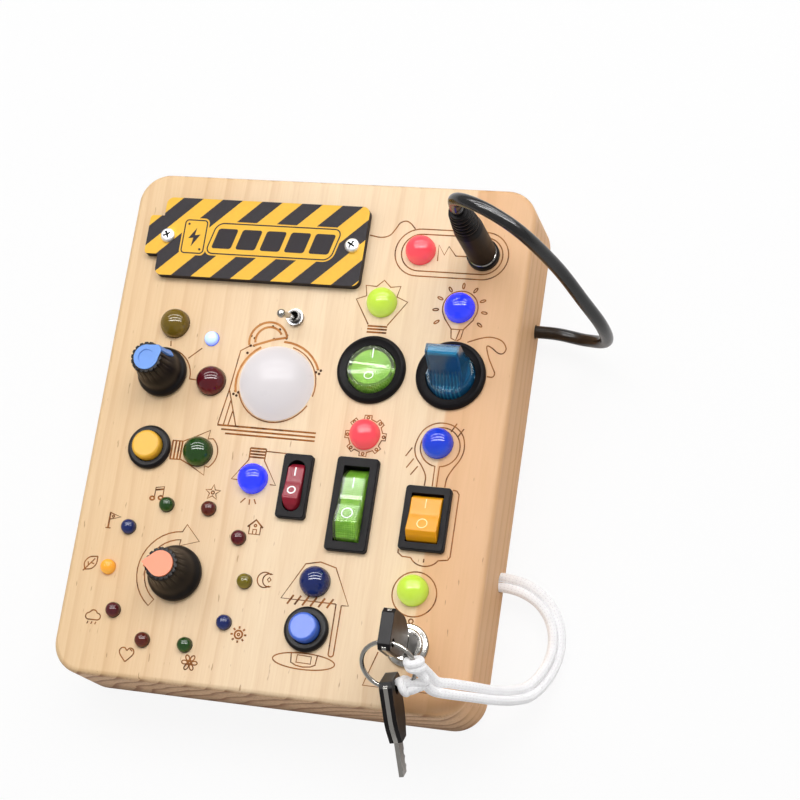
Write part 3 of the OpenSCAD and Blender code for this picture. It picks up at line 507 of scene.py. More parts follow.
@dataclass(frozen=True)
class Ribbed(Finish):
    """Inner moulding of the duckbill: pale ribs low in front and a pale bar at the tip."""

    pale: Colour = srgb(84, 168, 200)
    glow: float = 0.1
    pitch_m: float = 0.00115
    ribs_top: float = 0.0375
    tip: float = 0.0446
    middle: Point = (0.0496, 0.0222)

    def paint(self, graph: Graph) -> None:
        """Adds the ribs, the bar, cloudy patches and a little painted glow."""
        x, y, z = graph.split(graph.coords())
        rib = graph.math("SINE", graph.math("MULTIPLY", x, math.tau / self.pitch_m))
        side = graph.math("ABSOLUTE", graph.math("SUBTRACT", x, self.middle[0]))
        low = graph.span(z, 1.0, 0.0, self.ribs_top - 0.001, self.ribs_top)
        low = graph.math("MULTIPLY", low, graph.span(side, 1.0, 0.0, 0.0041, 0.0045))
        low = graph.math("MULTIPLY", low, graph.span(y, 1.0, 0.0, self.middle[1] - 0.0017,
                                                     self.middle[1] - 0.0012))
        bar = graph.span(z, 0.0, 0.8, self.tip, self.tip + 0.0006)
        ribs = graph.math("MULTIPLY", graph.span(rib, 0, 0.9, -0.2, 0.9), low)
        cloud = graph.noise(graph.coords(), 380, 3, 0.6)
        tone = graph.mix(graph.span(cloud, 0, 0.5, 0.4, 0.8), self.colour,
                         scaled(self.colour, 0.75))
        tone = graph.mix(graph.math("MAXIMUM", ribs, bar), tone, self.pale)
        # the core glows a little: painted light
        graph.set(Base_Color=tone, Emission_Color=tone, Emission_Strength=self.glow)
        self.gloss(graph, cloud, 0.8, 1.2)
        graph.bump(ribs, 0.1)


@dataclass(frozen=True)
class Braid(Finish):
    """Braided cord: crossed plaits that follow the cord's own UV map."""

    plaits: float = 5.0
    pitch_m: float = 0.0024

    def paint(self, graph: Graph) -> None:
        """Adds the plaits with painted shade in their grooves, loose fibres and a little
        painted glow.
        """
        u, v, _ = graph.split(graph.coords(source="UV"))
        along = graph.math("MULTIPLY", u, math.tau / self.pitch_m)
        round_ = graph.math("MULTIPLY", v, math.tau * self.plaits)
        one = graph.math("SINE", graph.math("ADD", along, round_))
        two = graph.math("SINE", graph.math("SUBTRACT", along, round_))
        plait = graph.span(graph.math("MULTIPLY", one, two), 0, 1, -1, 1)
        fuzz = graph.noise(graph.coords(), 2600, 3, 0.6)
        height = graph.math("ADD", plait, graph.math("MULTIPLY", fuzz, 0.35))
        # painted shade in the plaits' grooves, and a painted glow that lightens the whole
        # cord
        graph.set(Base_Color=self.tones(graph, graph.span(height, 0, 1, 0.1, 0.7), 0.8, 1.0),
                  Roughness=graph.span(fuzz, 0.8, 1.0), Sheen_Weight=0.25,
                  Emission_Color=self.colour, Emission_Strength=0.10,
                  Specular_IOR_Level=0.2)
        graph.bump(height, 0.10)


@dataclass(frozen=True)
class Jacket(Finish):
    """Extruded cable jacket: long shallow flow lines and scuffs along its UV map."""

    def paint(self, graph: Graph) -> None:
        """Adds the flow lines and the scuffs."""
        flow = graph.noise(graph.coords(scale=(60, 6, 1), source="UV"), 4, 3)
        scuff = graph.noise(graph.coords(), 420, 4, 0.7)
        graph.set(Base_Color=self.tones(graph, graph.span(scuff, 0, 1, 0.5, 0.8), 1.0, 1.9),
                  Specular_IOR_Level=0.55)
        self.gloss(graph, scuff, 0.75, 1.35, 0.35, 0.7)
        graph.bump(flow, 0.03)


PINE = Pine("lacquered_pine", srgb(245, 220, 185), 0.5)
PLYWOOD = Plywood("sanded_plywood", srgb(222, 186, 138), 0.7)
BURNT_LINE = Burnt("burnt_line", srgb(164, 98, 44), 0.8)
BURNT_DOT = Burnt("burnt_dot", srgb(74, 42, 24), 0.8, dark=srgb(40, 22, 14))
BURNT_BAND = Burnt("burnt_band", srgb(208, 142, 80), 0.8, dark=srgb(184, 114, 58))
HAZARD = Hazard("hazard_print", srgb(250, 192, 60), 0.42)
PRINT_YELLOW = Moulded("print_yellow", srgb(250, 192, 60), 0.42, 0.4, 0.006, 0.05, 0.1)
PRINT_BLACK = Moulded("print_black", srgb(40, 34, 38), 0.45, 0.4, 0.006, 0.2, 0.1)
BLACK = Moulded("black_moulding", srgb(19, 16, 18), 0.5, 0.16, 0.020, 0.18, 0.11)
KNOB_BLACK = Moulded("knob_moulding", srgb(20, 17, 18), 0.38, 0.2, 0.010, 0.2, 0.17)
RED_GLOSS = Moulded("crimson_moulding", srgb(152, 34, 52), 0.24, 0.5, 0.004, 0.06, 0.25)
AMBER_GLOSS = Moulded("amber_moulding", srgb(244, 166, 22), 0.24, 0.5, 0.004, 0.05, 0.25)
GREEN_CLEAR = Moulded("green_clear_shell", srgb(206, 228, 160), 0.12, 0.9, 0.006, 0.05,
                      0.6, clear=0.9)
LONG_CLEAR = Moulded("long_clear_shell", srgb(176, 206, 116), 0.12, 0.9, 0.006, 0.05,
                     0.3, clear=0.9)
GREEN_CORE = Hatched("green_inner_body", srgb(112, 160, 48), 0.45, srgb(196, 228, 132), 0.04)
BLUE_CLEAR = Moulded("blue_clear_shell", srgb(60, 150, 180), 0.14, 0.9, 0.006, 0.05,
                     0.55, clear=0.85)
BLUE_CORE = Ribbed("blue_inner_body", srgb(24, 92, 132), 0.45, srgb(84, 168, 190), 0.10)
BLUE_CAP = Moulded("blue_cap_moulding", srgb(92, 148, 230), 0.36, 0.25, 0.008, 0.06, 0.3)
BLUE_PRESS = Moulded("blue_button_moulding", srgb(66, 112, 224), 0.34, 0.25, 0.008, 0.06)
ORANGE_CAP = Moulded("orange_cap_moulding", srgb(248, 140, 92), 0.42, 0.25, 0.008, 0.05)
YELLOW_CAP = Moulded("yellow_cap_moulding", srgb(246, 188, 52), 0.4, 0.25, 0.008, 0.05, 0.3)
DARK_STEEL = Metal("dark_steel", srgb(92, 90, 88), 0.3)
# the marks glow a little: painted light
MARK_WHITE = Moulded("mark_paint", srgb(250, 248, 248), 0.5, 0.3, 0.01, 0.04, glow=0.15)
MARK_PALE = Moulded("mark_pale_paint", srgb(255, 232, 160), 0.5, 0.3, 0.01, 0.04, glow=0.1)
STEEL = Metal("zinc_steel", srgb(160, 160, 162), 0.26)
SCREW_WHITE = Metal("bright_screw", srgb(248, 248, 248), 0.42)
# dark finish that paints shade in recesses
RECESS_SHADE = Moulded("recess_painted_shade", srgb(26, 24, 24), 0.7, 0.3, 0.01, 0.2, 0.15)
NICKEL = Metal("polished_nickel", srgb(168, 165, 160), 0.14, (500, 500, 60), 0.0015)
TIN = Metal("tinned_strip", srgb(206, 207, 208), 0.36)
SLEEVE = Moulded("cell_wrap", srgb(62, 112, 160), 0.25, 0.6, 0.005, 0.15)
SOLDER_MASK = Moulded("solder_mask", srgb(28, 108, 62), 0.35, 0.5, 0.01, 0.18)
CASE_GREY = Moulded("switch_case_moulding", srgb(88, 90, 94), 0.5, 0.3, 0.012, 0.12)
JACKET = Jacket("cable_jacket", srgb(16, 15, 16), 0.2)
PLUG_BLACK = Moulded("plug_moulding", srgb(18, 15, 16), 0.42, 0.25, 0.02, 0.25, 0.09)
CORD_WHITE = Braid("braided_cord", srgb(250, 249, 250))
MILKY = Moulded("milky_dome", srgb(148, 144, 145), 0.3, 1.2, 0.004, 0.012, 0.2, glow=1.8)

LIT_RED = Lens("lens_lit_red", srgb(238, 72, 84), 0.07, 0.46, srgb(250, 104, 110))
LIT_GREEN = Lens("lens_lit_green", srgb(184, 214, 66), 0.07, 0.42, srgb(208, 240, 112))
LIT_BLUE = Lens("lens_lit_blue", srgb(38, 52, 246), 0.07, 0.62, srgb(64, 84, 255))
SOFT_BLUE = Lens("lens_soft_blue", srgb(26, 58, 200), 0.07, 0.35, srgb(60, 110, 240))
LIT_AMBER = Lens("lens_lit_amber", srgb(238, 160, 48), 0.07, 0.40, srgb(255, 196, 92))
SPARK = Lens("lens_spark", srgb(184, 210, 255), 0.1, 0.80, srgb(130, 160, 255),
             srgb(58, 78, 200))
OLIVE = Lens("lens_olive", srgb(120, 96, 24), 0.07, 0, srgb(164, 138, 46))
DARK_RED = Lens("lens_dark_red", srgb(92, 18, 28), 0.07, 0, srgb(136, 36, 44))
BROWN_RED = Lens("lens_brown_red", srgb(96, 34, 24), 0.07, 0, srgb(140, 64, 44))
MAROON = Lens("lens_maroon", srgb(88, 26, 34), 0.07, 0, srgb(130, 56, 62))
DARK_GREEN = Lens("lens_dark_green", srgb(36, 72, 24), 0.07, 0, srgb(70, 122, 40))
DARK_BLUE = Lens("lens_dark_blue", srgb(28, 42, 104), 0.07, 0, srgb(52, 76, 150))
RING_OLIVE = Lens("lens_ring_olive", srgb(122, 108, 26), 0.07, 0, srgb(172, 156, 58))


# --- mesh helpers


def linked(name: str, data: bpy.types.ID) -> Thing:
    """Makes an object of some data and links it to the scene."""
    made = bpy.data.objects.new(name, data)
    bpy.context.scene.collection.objects.link(made)
    return made


def from_mesh_data(name: str, verts: Iterable[Point], faces: Iterable[Sequence[int]]
                   ) -> Thing:
    """Makes a mesh object from points in millimetres.

    Args:
        name: The object's name.
        verts: Points, in millimetres.
        faces: Corner indices of each face.

    Returns:
        The object, linked to the scene.
    """
    mesh = bpy.data.meshes.new(name)
    mesh.from_pydata([Vector(v) * MM for v in verts], [], list(faces))
    mesh.update()
    return linked(name, mesh)


def from_bmesh(name: str, bm: bmesh.types.BMesh) -> Thing:
    """Makes a mesh object from a bmesh in metres, and frees the bmesh."""
    mesh = bpy.data.meshes.new(name)
    bm.to_mesh(mesh)
    bm.free()
    return linked(name, mesh)


def outward(thing: Thing) -> None:
    """Merges doubles and turns every face of a closed mesh outward."""
    bm = bmesh.new()
    bm.from_mesh(thing.data)
    bmesh.ops.remove_doubles(bm, verts=bm.verts, dist=1e-7)
    bmesh.ops.recalc_face_normals(bm, faces=bm.faces)
    bm.to_mesh(thing.data)
    bm.free()


def soft_shade(thing: Thing, angle: float = 32, even: bool = False) -> None:
    """Shades a mesh smooth.

    Args:
        thing: The object.
        angle: Edges past this angle, in degrees, stay sharp.
        even: Weight the normals by the faces' sizes.
    """
    thing.data.shade_smooth()
    thing.data.set_sharp_from_angle(angle=math.radians(angle))
    if even:
        thing.modifiers.new("even_normals", "WEIGHTED_NORMAL").keep_sharp = True
        settle(thing)


def baked(thing: Thing) -> bpy.types.Mesh:
    """Takes an object's modifiers off and returns the mesh that they made."""
    graph = bpy.context.evaluated_depsgraph_get()
    mesh = bpy.data.meshes.new_from_object(thing.evaluated_get(graph),
                                           preserve_all_data_layers=True, depsgraph=graph)
    thing.modifiers.clear()
    return mesh


def settle(thing: Thing) -> None:
    """Turns an object's modifiers into plain mesh."""
    thing.data = baked(thing)


def fillet(points: Sequence[Point], radius: float, steps: int = 4) -> list[Vector]:
    """Rounds the inner corners of an open outline.

    Args:
        points: The outline.
        radius: How far from each corner the rounding starts.
        steps: Segments of each rounding.

    Returns:
        The rounded outline.
    """
    out = [Vector(points[0])]
    for a, b, c in zip(points, points[1:], points[2:]):
        a, b, c = Vector(a), Vector(b), Vector(c)
        cut = min(radius, (a - b).length * 0.45, (c - b).length * 0.45)
        start, end = b + (a - b).normalized() * cut, b + (c - b).normalized() * cut
        out += [start * (1 - t) ** 2 + b * (2 * t * (1 - t)) + end * t * t
                for t in (i / steps for i in range(steps + 1))]
    return out + [Vector(points[-1])]


def lathe(name: str, profile: Sequence[Point], at: Point = (0, 0, 0), sides: int = 64,
          shape: Callable[[float, float, float], float] | None = None,
          closed: bool = False) -> Thing:
    """Turns a profile about a vertical axis.

    Args:
        name: The object's name.
        profile: Radius and height along the profile; a radius of 0 closes it.
        at: Where the axis stands and what height 0 is.
        sides: Steps round the axis.
        shape: Gives a new radius from radius, height and angle, for flutes.
        closed: Join the profile's end to its start, for a ring.

    Returns:
        The object.
    """
    verts, faces, rings = [], [], []
    for r, z in profile:
        start = len(verts)
        if r < 1e-6:
            verts.append((at[0], at[1], at[2] + z))
            rings.append([start] * sides)
            continue
        for k in range(sides):
            a = math.tau * k / sides
            reach = shape(r, z, a) if shape else r
            verts.append((at[0] + reach * math.cos(a), at[1] + reach * math.sin(a),
                          at[2] + z))
        rings.append(list(range(start, start + sides)))
    pairs = list(zip(rings, rings[1:])) + ([(rings[-1], rings[0])] if closed else [])
    for low, high in pairs:
        for k in range(sides):
            n = (k + 1) % sides
            face = list(dict.fromkeys((low[k], low[n], high[n], high[k])))
            if len(face) > 2:
                faces.append(face)
    made = from_mesh_data(name, verts, faces)
    outward(made)
    soft_shade(made)
    return made


def smooth_path(points: Sequence[Point], per: int) -> list[Vector]:
    """Returns a Catmull-Rom curve through the points, with steps between each pair."""
    p = [Vector(q) for q in points]
    out = []
    for i in range(len(p) - 1):
        b, c = p[i], p[i + 1]
        a = 2 * b - c if i == 0 else p[i - 1]
        d = 2 * c - b if i == len(p) - 2 else p[i + 2]
        for k in range(per):
            t = k / per
            out.append((2 * b + (c - a) * t + (2 * a - 5 * b + 4 * c - d) * t * t
                        + (3 * b - a - 3 * c + d) * t ** 3) / 2)
    return out + [p[-1]]


def tube(name: str, path: Sequence[Vector], radius: float, sides: int = 16,
         taper: Callable[[float], float] | None = None) -> Thing:
    """Makes a closed round tube along a path, with a UV map of length and turn.

    Args:
        name: The object's name.
        path: Points of the centreline.
        radius: Radius of the tube.
        sides: Corners round the tube.
        taper: Gives a factor on the radius from the place along the tube, 0 to 1.

    Returns:
        The object; U is metres along it and V a share of a turn.
    """
    tangents = [(path[min(i + 1, len(path) - 1)] - path[max(i - 1, 0)]).normalized()
                for i in range(len(path))]
    side = tangents[0].orthogonal().normalized()
    verts, lengths, run = [], [], 0.0
    for i, (p, t) in enumerate(zip(path, tangents)):
        side = (side - t * side.dot(t)).normalized()
        other = t.cross(side)
        run += (p - path[i - 1]).length if i else 0.0
        lengths.append(run)
        size = radius * (taper(i / (len(path) - 1)) if taper else 1.0)
        verts += [p + (side * math.cos(a) + other * math.sin(a)) * size
                  for a in (math.tau * k / sides for k in range(sides))]
    faces, uvs = [], []
    for i in range(len(path) - 1):
        for k in range(sides):
            n = (k + 1) % sides
            faces.append((i * sides + k, i * sides + n, (i + 1) * sides + n,
                          (i + 1) * sides + k))
            u0, u1, v0, v1 = lengths[i] * MM, lengths[i + 1] * MM, k / sides, (k + 1) / sides
            uvs += [(u0, v0), (u0, v1), (u1, v1), (u1, v0)]
    last = (len(path) - 1) * sides
    for ring, u in ((list(range(sides))[::-1], 0.0),
                    (list(range(last, last + sides)), run * MM)):
        faces.append(ring)
        uvs += [(u, k / sides) for k in range(sides)]
    made = from_mesh_data(name, verts, faces)
    layer = made.data.uv_layers.new(name="cord_uv")
    for loop, uv in zip(layer.data, uvs):
        loop.uv = uv
    soft_shade(made, 50)
    return made


def joined(name: str, things: Sequence[Thing]) -> Thing:
    """Joins meshes, whose own places are their meshes', into one named object."""
    first = things[0]
    with bpy.context.temp_override(active_object=first, object=first,
                                   selected_objects=list(things),
                                   selected_editable_objects=list(things)):
        bpy.ops.object.join()
    first.name = first.data.name = name
    return first


def place(thing: Thing, matrix: Matrix) -> Thing:
    """Moves an object's mesh by a matrix whose shift is in millimetres."""
    moved = matrix.copy()
    moved.translation *= MM
    thing.data.transform(moved)
    thing.data.update()
    return thing


def softened(name: str, node: str, bevel: float = 0.2, angle: float = 28,
             segments: int = 2, shade: float = 32) -> Thing:
    """Makes a copy of a CAD node with its doubles merged and its edges broken.

    Args:
        name: The new object's name.
        node: The CAD node to copy.
        bevel: Width of the broken edges; 0 leaves them.
        angle: Edges sharper than this, in degrees, are broken.
        segments: Steps of each broken edge.
        shade: Edges past this angle stay sharp in the shading.

    Returns:
        The object.
    """
    bm = bmesh.new()
    bm.from_mesh(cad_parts[node].data)
    bmesh.ops.remove_doubles(bm, verts=bm.verts, dist=2e-6)
    bmesh.ops.dissolve_limit(bm, angle_limit=math.radians(0.6), verts=bm.verts,
                             edges=bm.edges)
    if bevel:
        sharp = [e for e in bm.edges if len(e.link_faces) == 2
                 and e.calc_face_angle(0.0) > math.radians(angle)]
        bmesh.ops.bevel(bm, geom=sharp, offset=bevel * MM, segments=segments, profile=0.6,
                        affect="EDGES", clamp_overlap=True)
    bmesh.ops.recalc_face_normals(bm, faces=bm.faces)
    made = from_bmesh(name, bm)
    soft_shade(made, shade, even=True)
    return made


def dress(thing: Thing, finish: Finish) -> Thing:
    """Gives an object one finish on all its faces."""
    thing.data.materials.clear()
    thing.data.materials.append(finish.material())
    thing.data.polygons.foreach_set("material_index", [0] * len(thing.data.polygons))
    return thing


def fit(thing: Thing, body: str, replaces: Sequence[str] = ()
        ) -> Thing:
    """Puts a finished piece on its body and reports it.

    Args:
        thing: The piece.
        body: The CAD body that it rides on.
        replaces: CAD nodes that the piece stands for.

    Returns:
        The piece.
    """
    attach(thing, body)
    if replaces:
        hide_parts(*replaces)
    LOG.info("%s rides on %s, %d faces", thing.name, body, len(thing.data.polygons))
    return thing


def skin(name: str, node: str, finish: Finish, body: str, slot: str, **edges: float
         ) -> Thing:
    """Makes a softened copy of a CAD node that stands for it.

    Args:
        name: The piece's name.
        node: The CAD node.
        finish: Its finish.
        body: The CAD body that it rides on.
        slot: Not used.
        edges: How its edges are broken, as in softened().

    Returns:
        The piece.
    """
    return fit(dress(softened(name, node, **edges), finish), body, [node])


def dress_node(node: str, finish: Finish) -> None:
    """Gives a CAD node that stays shown a finish."""
    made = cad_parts[node]
    if not made.material_slots:
        made.data.materials.append(finish.material())
    for slot in made.material_slots:
        slot.material = finish.material()
    LOG.info("%s keeps its CAD shape, in %s", node, finish.name)


# --- geometry trees


class Tree(Nodes):
    """A Geometry Nodes tree with named inputs, built in steps."""

    def __init__(self, name: str, inputs: Mapping[str, tuple[str, object]]) -> None:
        """Starts the tree.

        Args:
            name: The tree's name.
            inputs: Kind and default of each named input after the geometry.
        """
        super().__init__(bpy.data.node_groups.new(name, "GeometryNodeTree"))
        face = self.tree.interface
        face.new_socket("Geometry", in_out="INPUT", socket_type="NodeSocketGeometry")
        for label, (kind, default) in inputs.items():
            made = face.new_socket(label, in_out="INPUT", socket_type=f"NodeSocket{kind}")
            if default is not None:
                made.default_value = default
        face.new_socket("Geometry", in_out="OUTPUT", socket_type="NodeSocketGeometry")
        self.given = self.add("NodeGroupInput").outputs

    def finish(self, out: Socket) -> "Tree":
        """Ends the tree in Realize Instances and Set Material."""
        real = self.add("GeometryNodeRealizeInstances", {0: out})
        paint = self.add("GeometryNodeSetMaterial", {
            "Geometry": real.outputs[0], "Material": self.given["Material"]})
        self.add("NodeGroupOutput", {0: paint.outputs[0]})
        return self

    def run(self, thing: Thing, **values: object) -> bpy.types.Mesh:
        """Runs the tree on an object and returns the plain mesh that it makes.

        Args:
            thing: The object, a mesh or a curve.
            values: The inputs' values.

        Returns:
            The mesh.
        """
        modifier = thing.modifiers.new(self.tree.name, "NODES")
        modifier.node_group = self.tree
        for item in self.tree.interface.items_tree:
            if item.in_out == "INPUT" and item.name in values:
                modifier[item.identifier] = values[item.name]
        return baked(thing)


def stroke_tree() -> Tree:
    """Builds the tree that turns drawn curves into thin flat bars.

    Returns:
        A tree with the inputs Width, Depth, Wobble, Seed and Material.
    """
    tree = Tree("drawn_lines", {
        "Width": ("Float", 0.4 * MM), "Depth": ("Float", 0.05 * MM),
        "Wobble": ("Float", 0.3), "Seed": ("Float", 3.0), "Material": ("Material", None)})
    given = tree.given
    level = tree.add("GeometryNodeSetCurveNormal", {"Curve": given["Geometry"]},
                     mode="Z_UP")
    noise = tree.add("ShaderNodeTexNoise", {"W": given["Seed"], "Scale": 700},
                     noise_dimensions="4D")
    spread = tree.math("MULTIPLY_ADD", noise.outputs[0], given["Wobble"], 0.85)
    radius = tree.add("GeometryNodeInputRadius").outputs[0]
    bar = tree.add("GeometryNodeCurvePrimitiveQuadrilateral", {
        "Width": given["Width"], "Height": given["Depth"]}, mode="RECTANGLE")
    solid = tree.add("GeometryNodeCurveToMesh", {
        "Curve": level.outputs[0], "Profile Curve": bar.outputs[0],
        "Scale": tree.math("MULTIPLY", radius, spread), "Fill Caps": True})
    return tree.finish(solid.outputs[0])


def repeat_tree() -> Tree:
    """Builds the tree that sets one made piece on every point of a mesh.

    Returns:
        A tree with the inputs Master, Size and Material; each point's "turn" attribute
        turns its copy.
    """
    tree = Tree("set_out_pieces", {"Master": ("Object", None), "Size": ("Float", 1.0),
                                   "Material": ("Material", None)})
    given = tree.given
    info = tree.add("GeometryNodeObjectInfo", {"Object": given["Master"]})
    turn = tree.add("GeometryNodeInputNamedAttribute", data_type="FLOAT_VECTOR")
    tree.feed(turn.inputs["Name"], "turn")
    euler = tree.add("FunctionNodeEulerToRotation", {0: turn.outputs["Attribute"]})
    copies = tree.add("GeometryNodeInstanceOnPoints", {
        "Points": given["Geometry"], "Instance": info.outputs["Geometry"],
        "Rotation": euler.outputs[0], "Scale": given["Size"]})
    return tree.finish(copies.outputs["Instances"])


def repeated(name: str, master: Thing, points: Sequence[Point], turns: Sequence[Point],
             finish: Finish, tree: Tree) -> Thing:
    """Sets copies of a master piece out on points, as one mesh.

    Args:
        name: Name of the new piece.
        master: The piece to repeat, made about the origin; it is removed.
        points: Where the copies go.
        turns: Euler turns of the copies, in degrees.
        finish: Their finish.
        tree: The tree from repeat_tree().

    Returns:
        The new piece.
    """
    made = from_mesh_data(name, points, [])
    attribute = made.data.attributes.new("turn", "FLOAT_VECTOR", "POINT")
    for item, turn in zip(attribute.data, turns):
        item.vector = [math.radians(a) for a in turn]
    made.data = tree.run(made, Master=master, Material=finish.material())
    bpy.data.objects.remove(master)
    soft_shade(made)
    return dress(made, finish)


# --- drawing


class Weight(Enum):
    """Width of a drawn line, as a factor on the thin one."""

    THIN = 1.0
    FIRM = 1.45
    BOLD = 2.3


@dataclass(frozen=True)
class Stroke:
    """One drawn line in a plane, in millimetres."""

    points: Sequence[Point]
    weight: Weight = Weight.THIN
    closed: bool = False

    def moved(self, x: float, y: float) -> "Stroke":
        """Returns the stroke shifted in its plane."""
        return Stroke([(x + u, y + v) for u, v in self.points], self.weight, self.closed)


def arc(cx: float, cy: float, r: float, start: float, end: float, ry: float | None = None
        ) -> list[Point]:
    """Returns points on an arc.

    Args:
        cx: Centre across.
        cy: Centre up.
        r: Radius across.
        start: First angle, degrees.
        end: Last angle, degrees.
        ry: Radius up, if it differs.

    Returns:
        The points.
    """
    steps = max(4, int(abs(end - start) / 9))
    return [(cx + r * math.cos(a), cy + (ry or r) * math.sin(a))
            for a in (math.radians(start + (end - start) * i / steps)
                      for i in range(steps + 1))]


def circle(cx: float, cy: float, r: float, weight: Weight = Weight.THIN) -> Stroke:
    """Returns a closed circle."""
    return Stroke(arc(cx, cy, r, 0, 360)[:-1], weight, True)


def petal(x: float, y: float, turn: float, rx: float, ry: float) -> Stroke:
    """Returns a closed ellipse turned by an angle in radians."""
    c, s = math.cos(turn), math.sin(turn)
    return Stroke([(x + u * c - v * s, y + u * s + v * c)
                   for u, v in arc(0, 0, rx, 0, 360, ry)[:-1]], closed=True)


def flowing(points: Sequence[Point]) -> list[Point]:
    """Returns a flat curve that flows through the points."""
    return [tuple(p)[:2] for p in smooth_path([(*p, 0) for p in points], 6)]


def traced(text: str) -> list[Stroke]:
    """Reads strokes from words.

    Args:
        text: Words. A stroke's kind, then its places: "line" is thin, "firm" and "bold" are
            wider, "shut" is thin and closed, "rim" is firm and closed, and "flow" is thin
            and curved. A place is x,y for a point, @x,y,r,from,to for an arc, with ry after
            it for an oval, or ~r,angle for a point that far from the middle.

    Returns:
        The strokes.
    """
    found: list[tuple[str, list[Point]]] = []
    for word in text.split():
        if word.isalpha():
            found.append((word, []))
            continue
        numbers = [float(n) for n in word.lstrip("@~").split(",")]
        if word[0] == "@":
            found[-1][1].extend(arc(*numbers))
        elif word[0] == "~":
            r, a = numbers[0], math.radians(numbers[1])
            found[-1][1].append((r * math.cos(a), r * math.sin(a)))
        else:
            found[-1][1].append(tuple(numbers))
    out = []
    for kind, points in found:
        if kind == "flow":
            points = flowing(points)
        closed = kind in ("shut", "rim")
        if closed and math.dist(points[0], points[-1]) < 1e-6:
            points = points[:-1]
        weight = {"firm": Weight.FIRM, "rim": Weight.FIRM, "bold": Weight.BOLD}.get(
            kind, Weight.THIN)
        out.append(Stroke(points, weight, closed))
    return out


def drawn(name: str, strokes: Sequence[Stroke], finish: Finish, tree: Tree,
          matrix: Matrix, width: float, depth: float = 0.07, wobble: float = 0.3) -> Thing:
    """Makes thin flat bars along drawn strokes.

    Args:
        name: The piece's name.
        strokes: The strokes, in their plane.
        finish: Finish of the bars.
        tree: The tree from stroke_tree().
        matrix: Place of the plane, in millimetres.
        width: Width of a thin line.
        depth: Thickness of the bars, half of it above the plane.
        wobble: How uneven the width is.

    Returns:
        The piece.
    """
    curve = bpy.data.curves.new(name, "CURVE")
    curve.dimensions = "3D"
    for stroke in strokes:
        spline = curve.splines.new("POLY")
        spline.points.add(len(stroke.points) - 1)
        spline.use_cyclic_u = stroke.closed
        for point, (x, y) in zip(spline.points, stroke.points):
            point.co = (x * MM, y * MM, 0, 1)
            point.radius = stroke.weight.value
    holder = linked(name + "_curve", curve)
    made = linked(name, tree.run(holder, Width=width * MM, Depth=depth * MM, Wobble=wobble,
                                 Material=finish.material()))
    bpy.data.objects.remove(holder)
    place(made, matrix)
    outward(made)
    soft_shade(made, 40)
    return dress(made, finish)


# --- studio


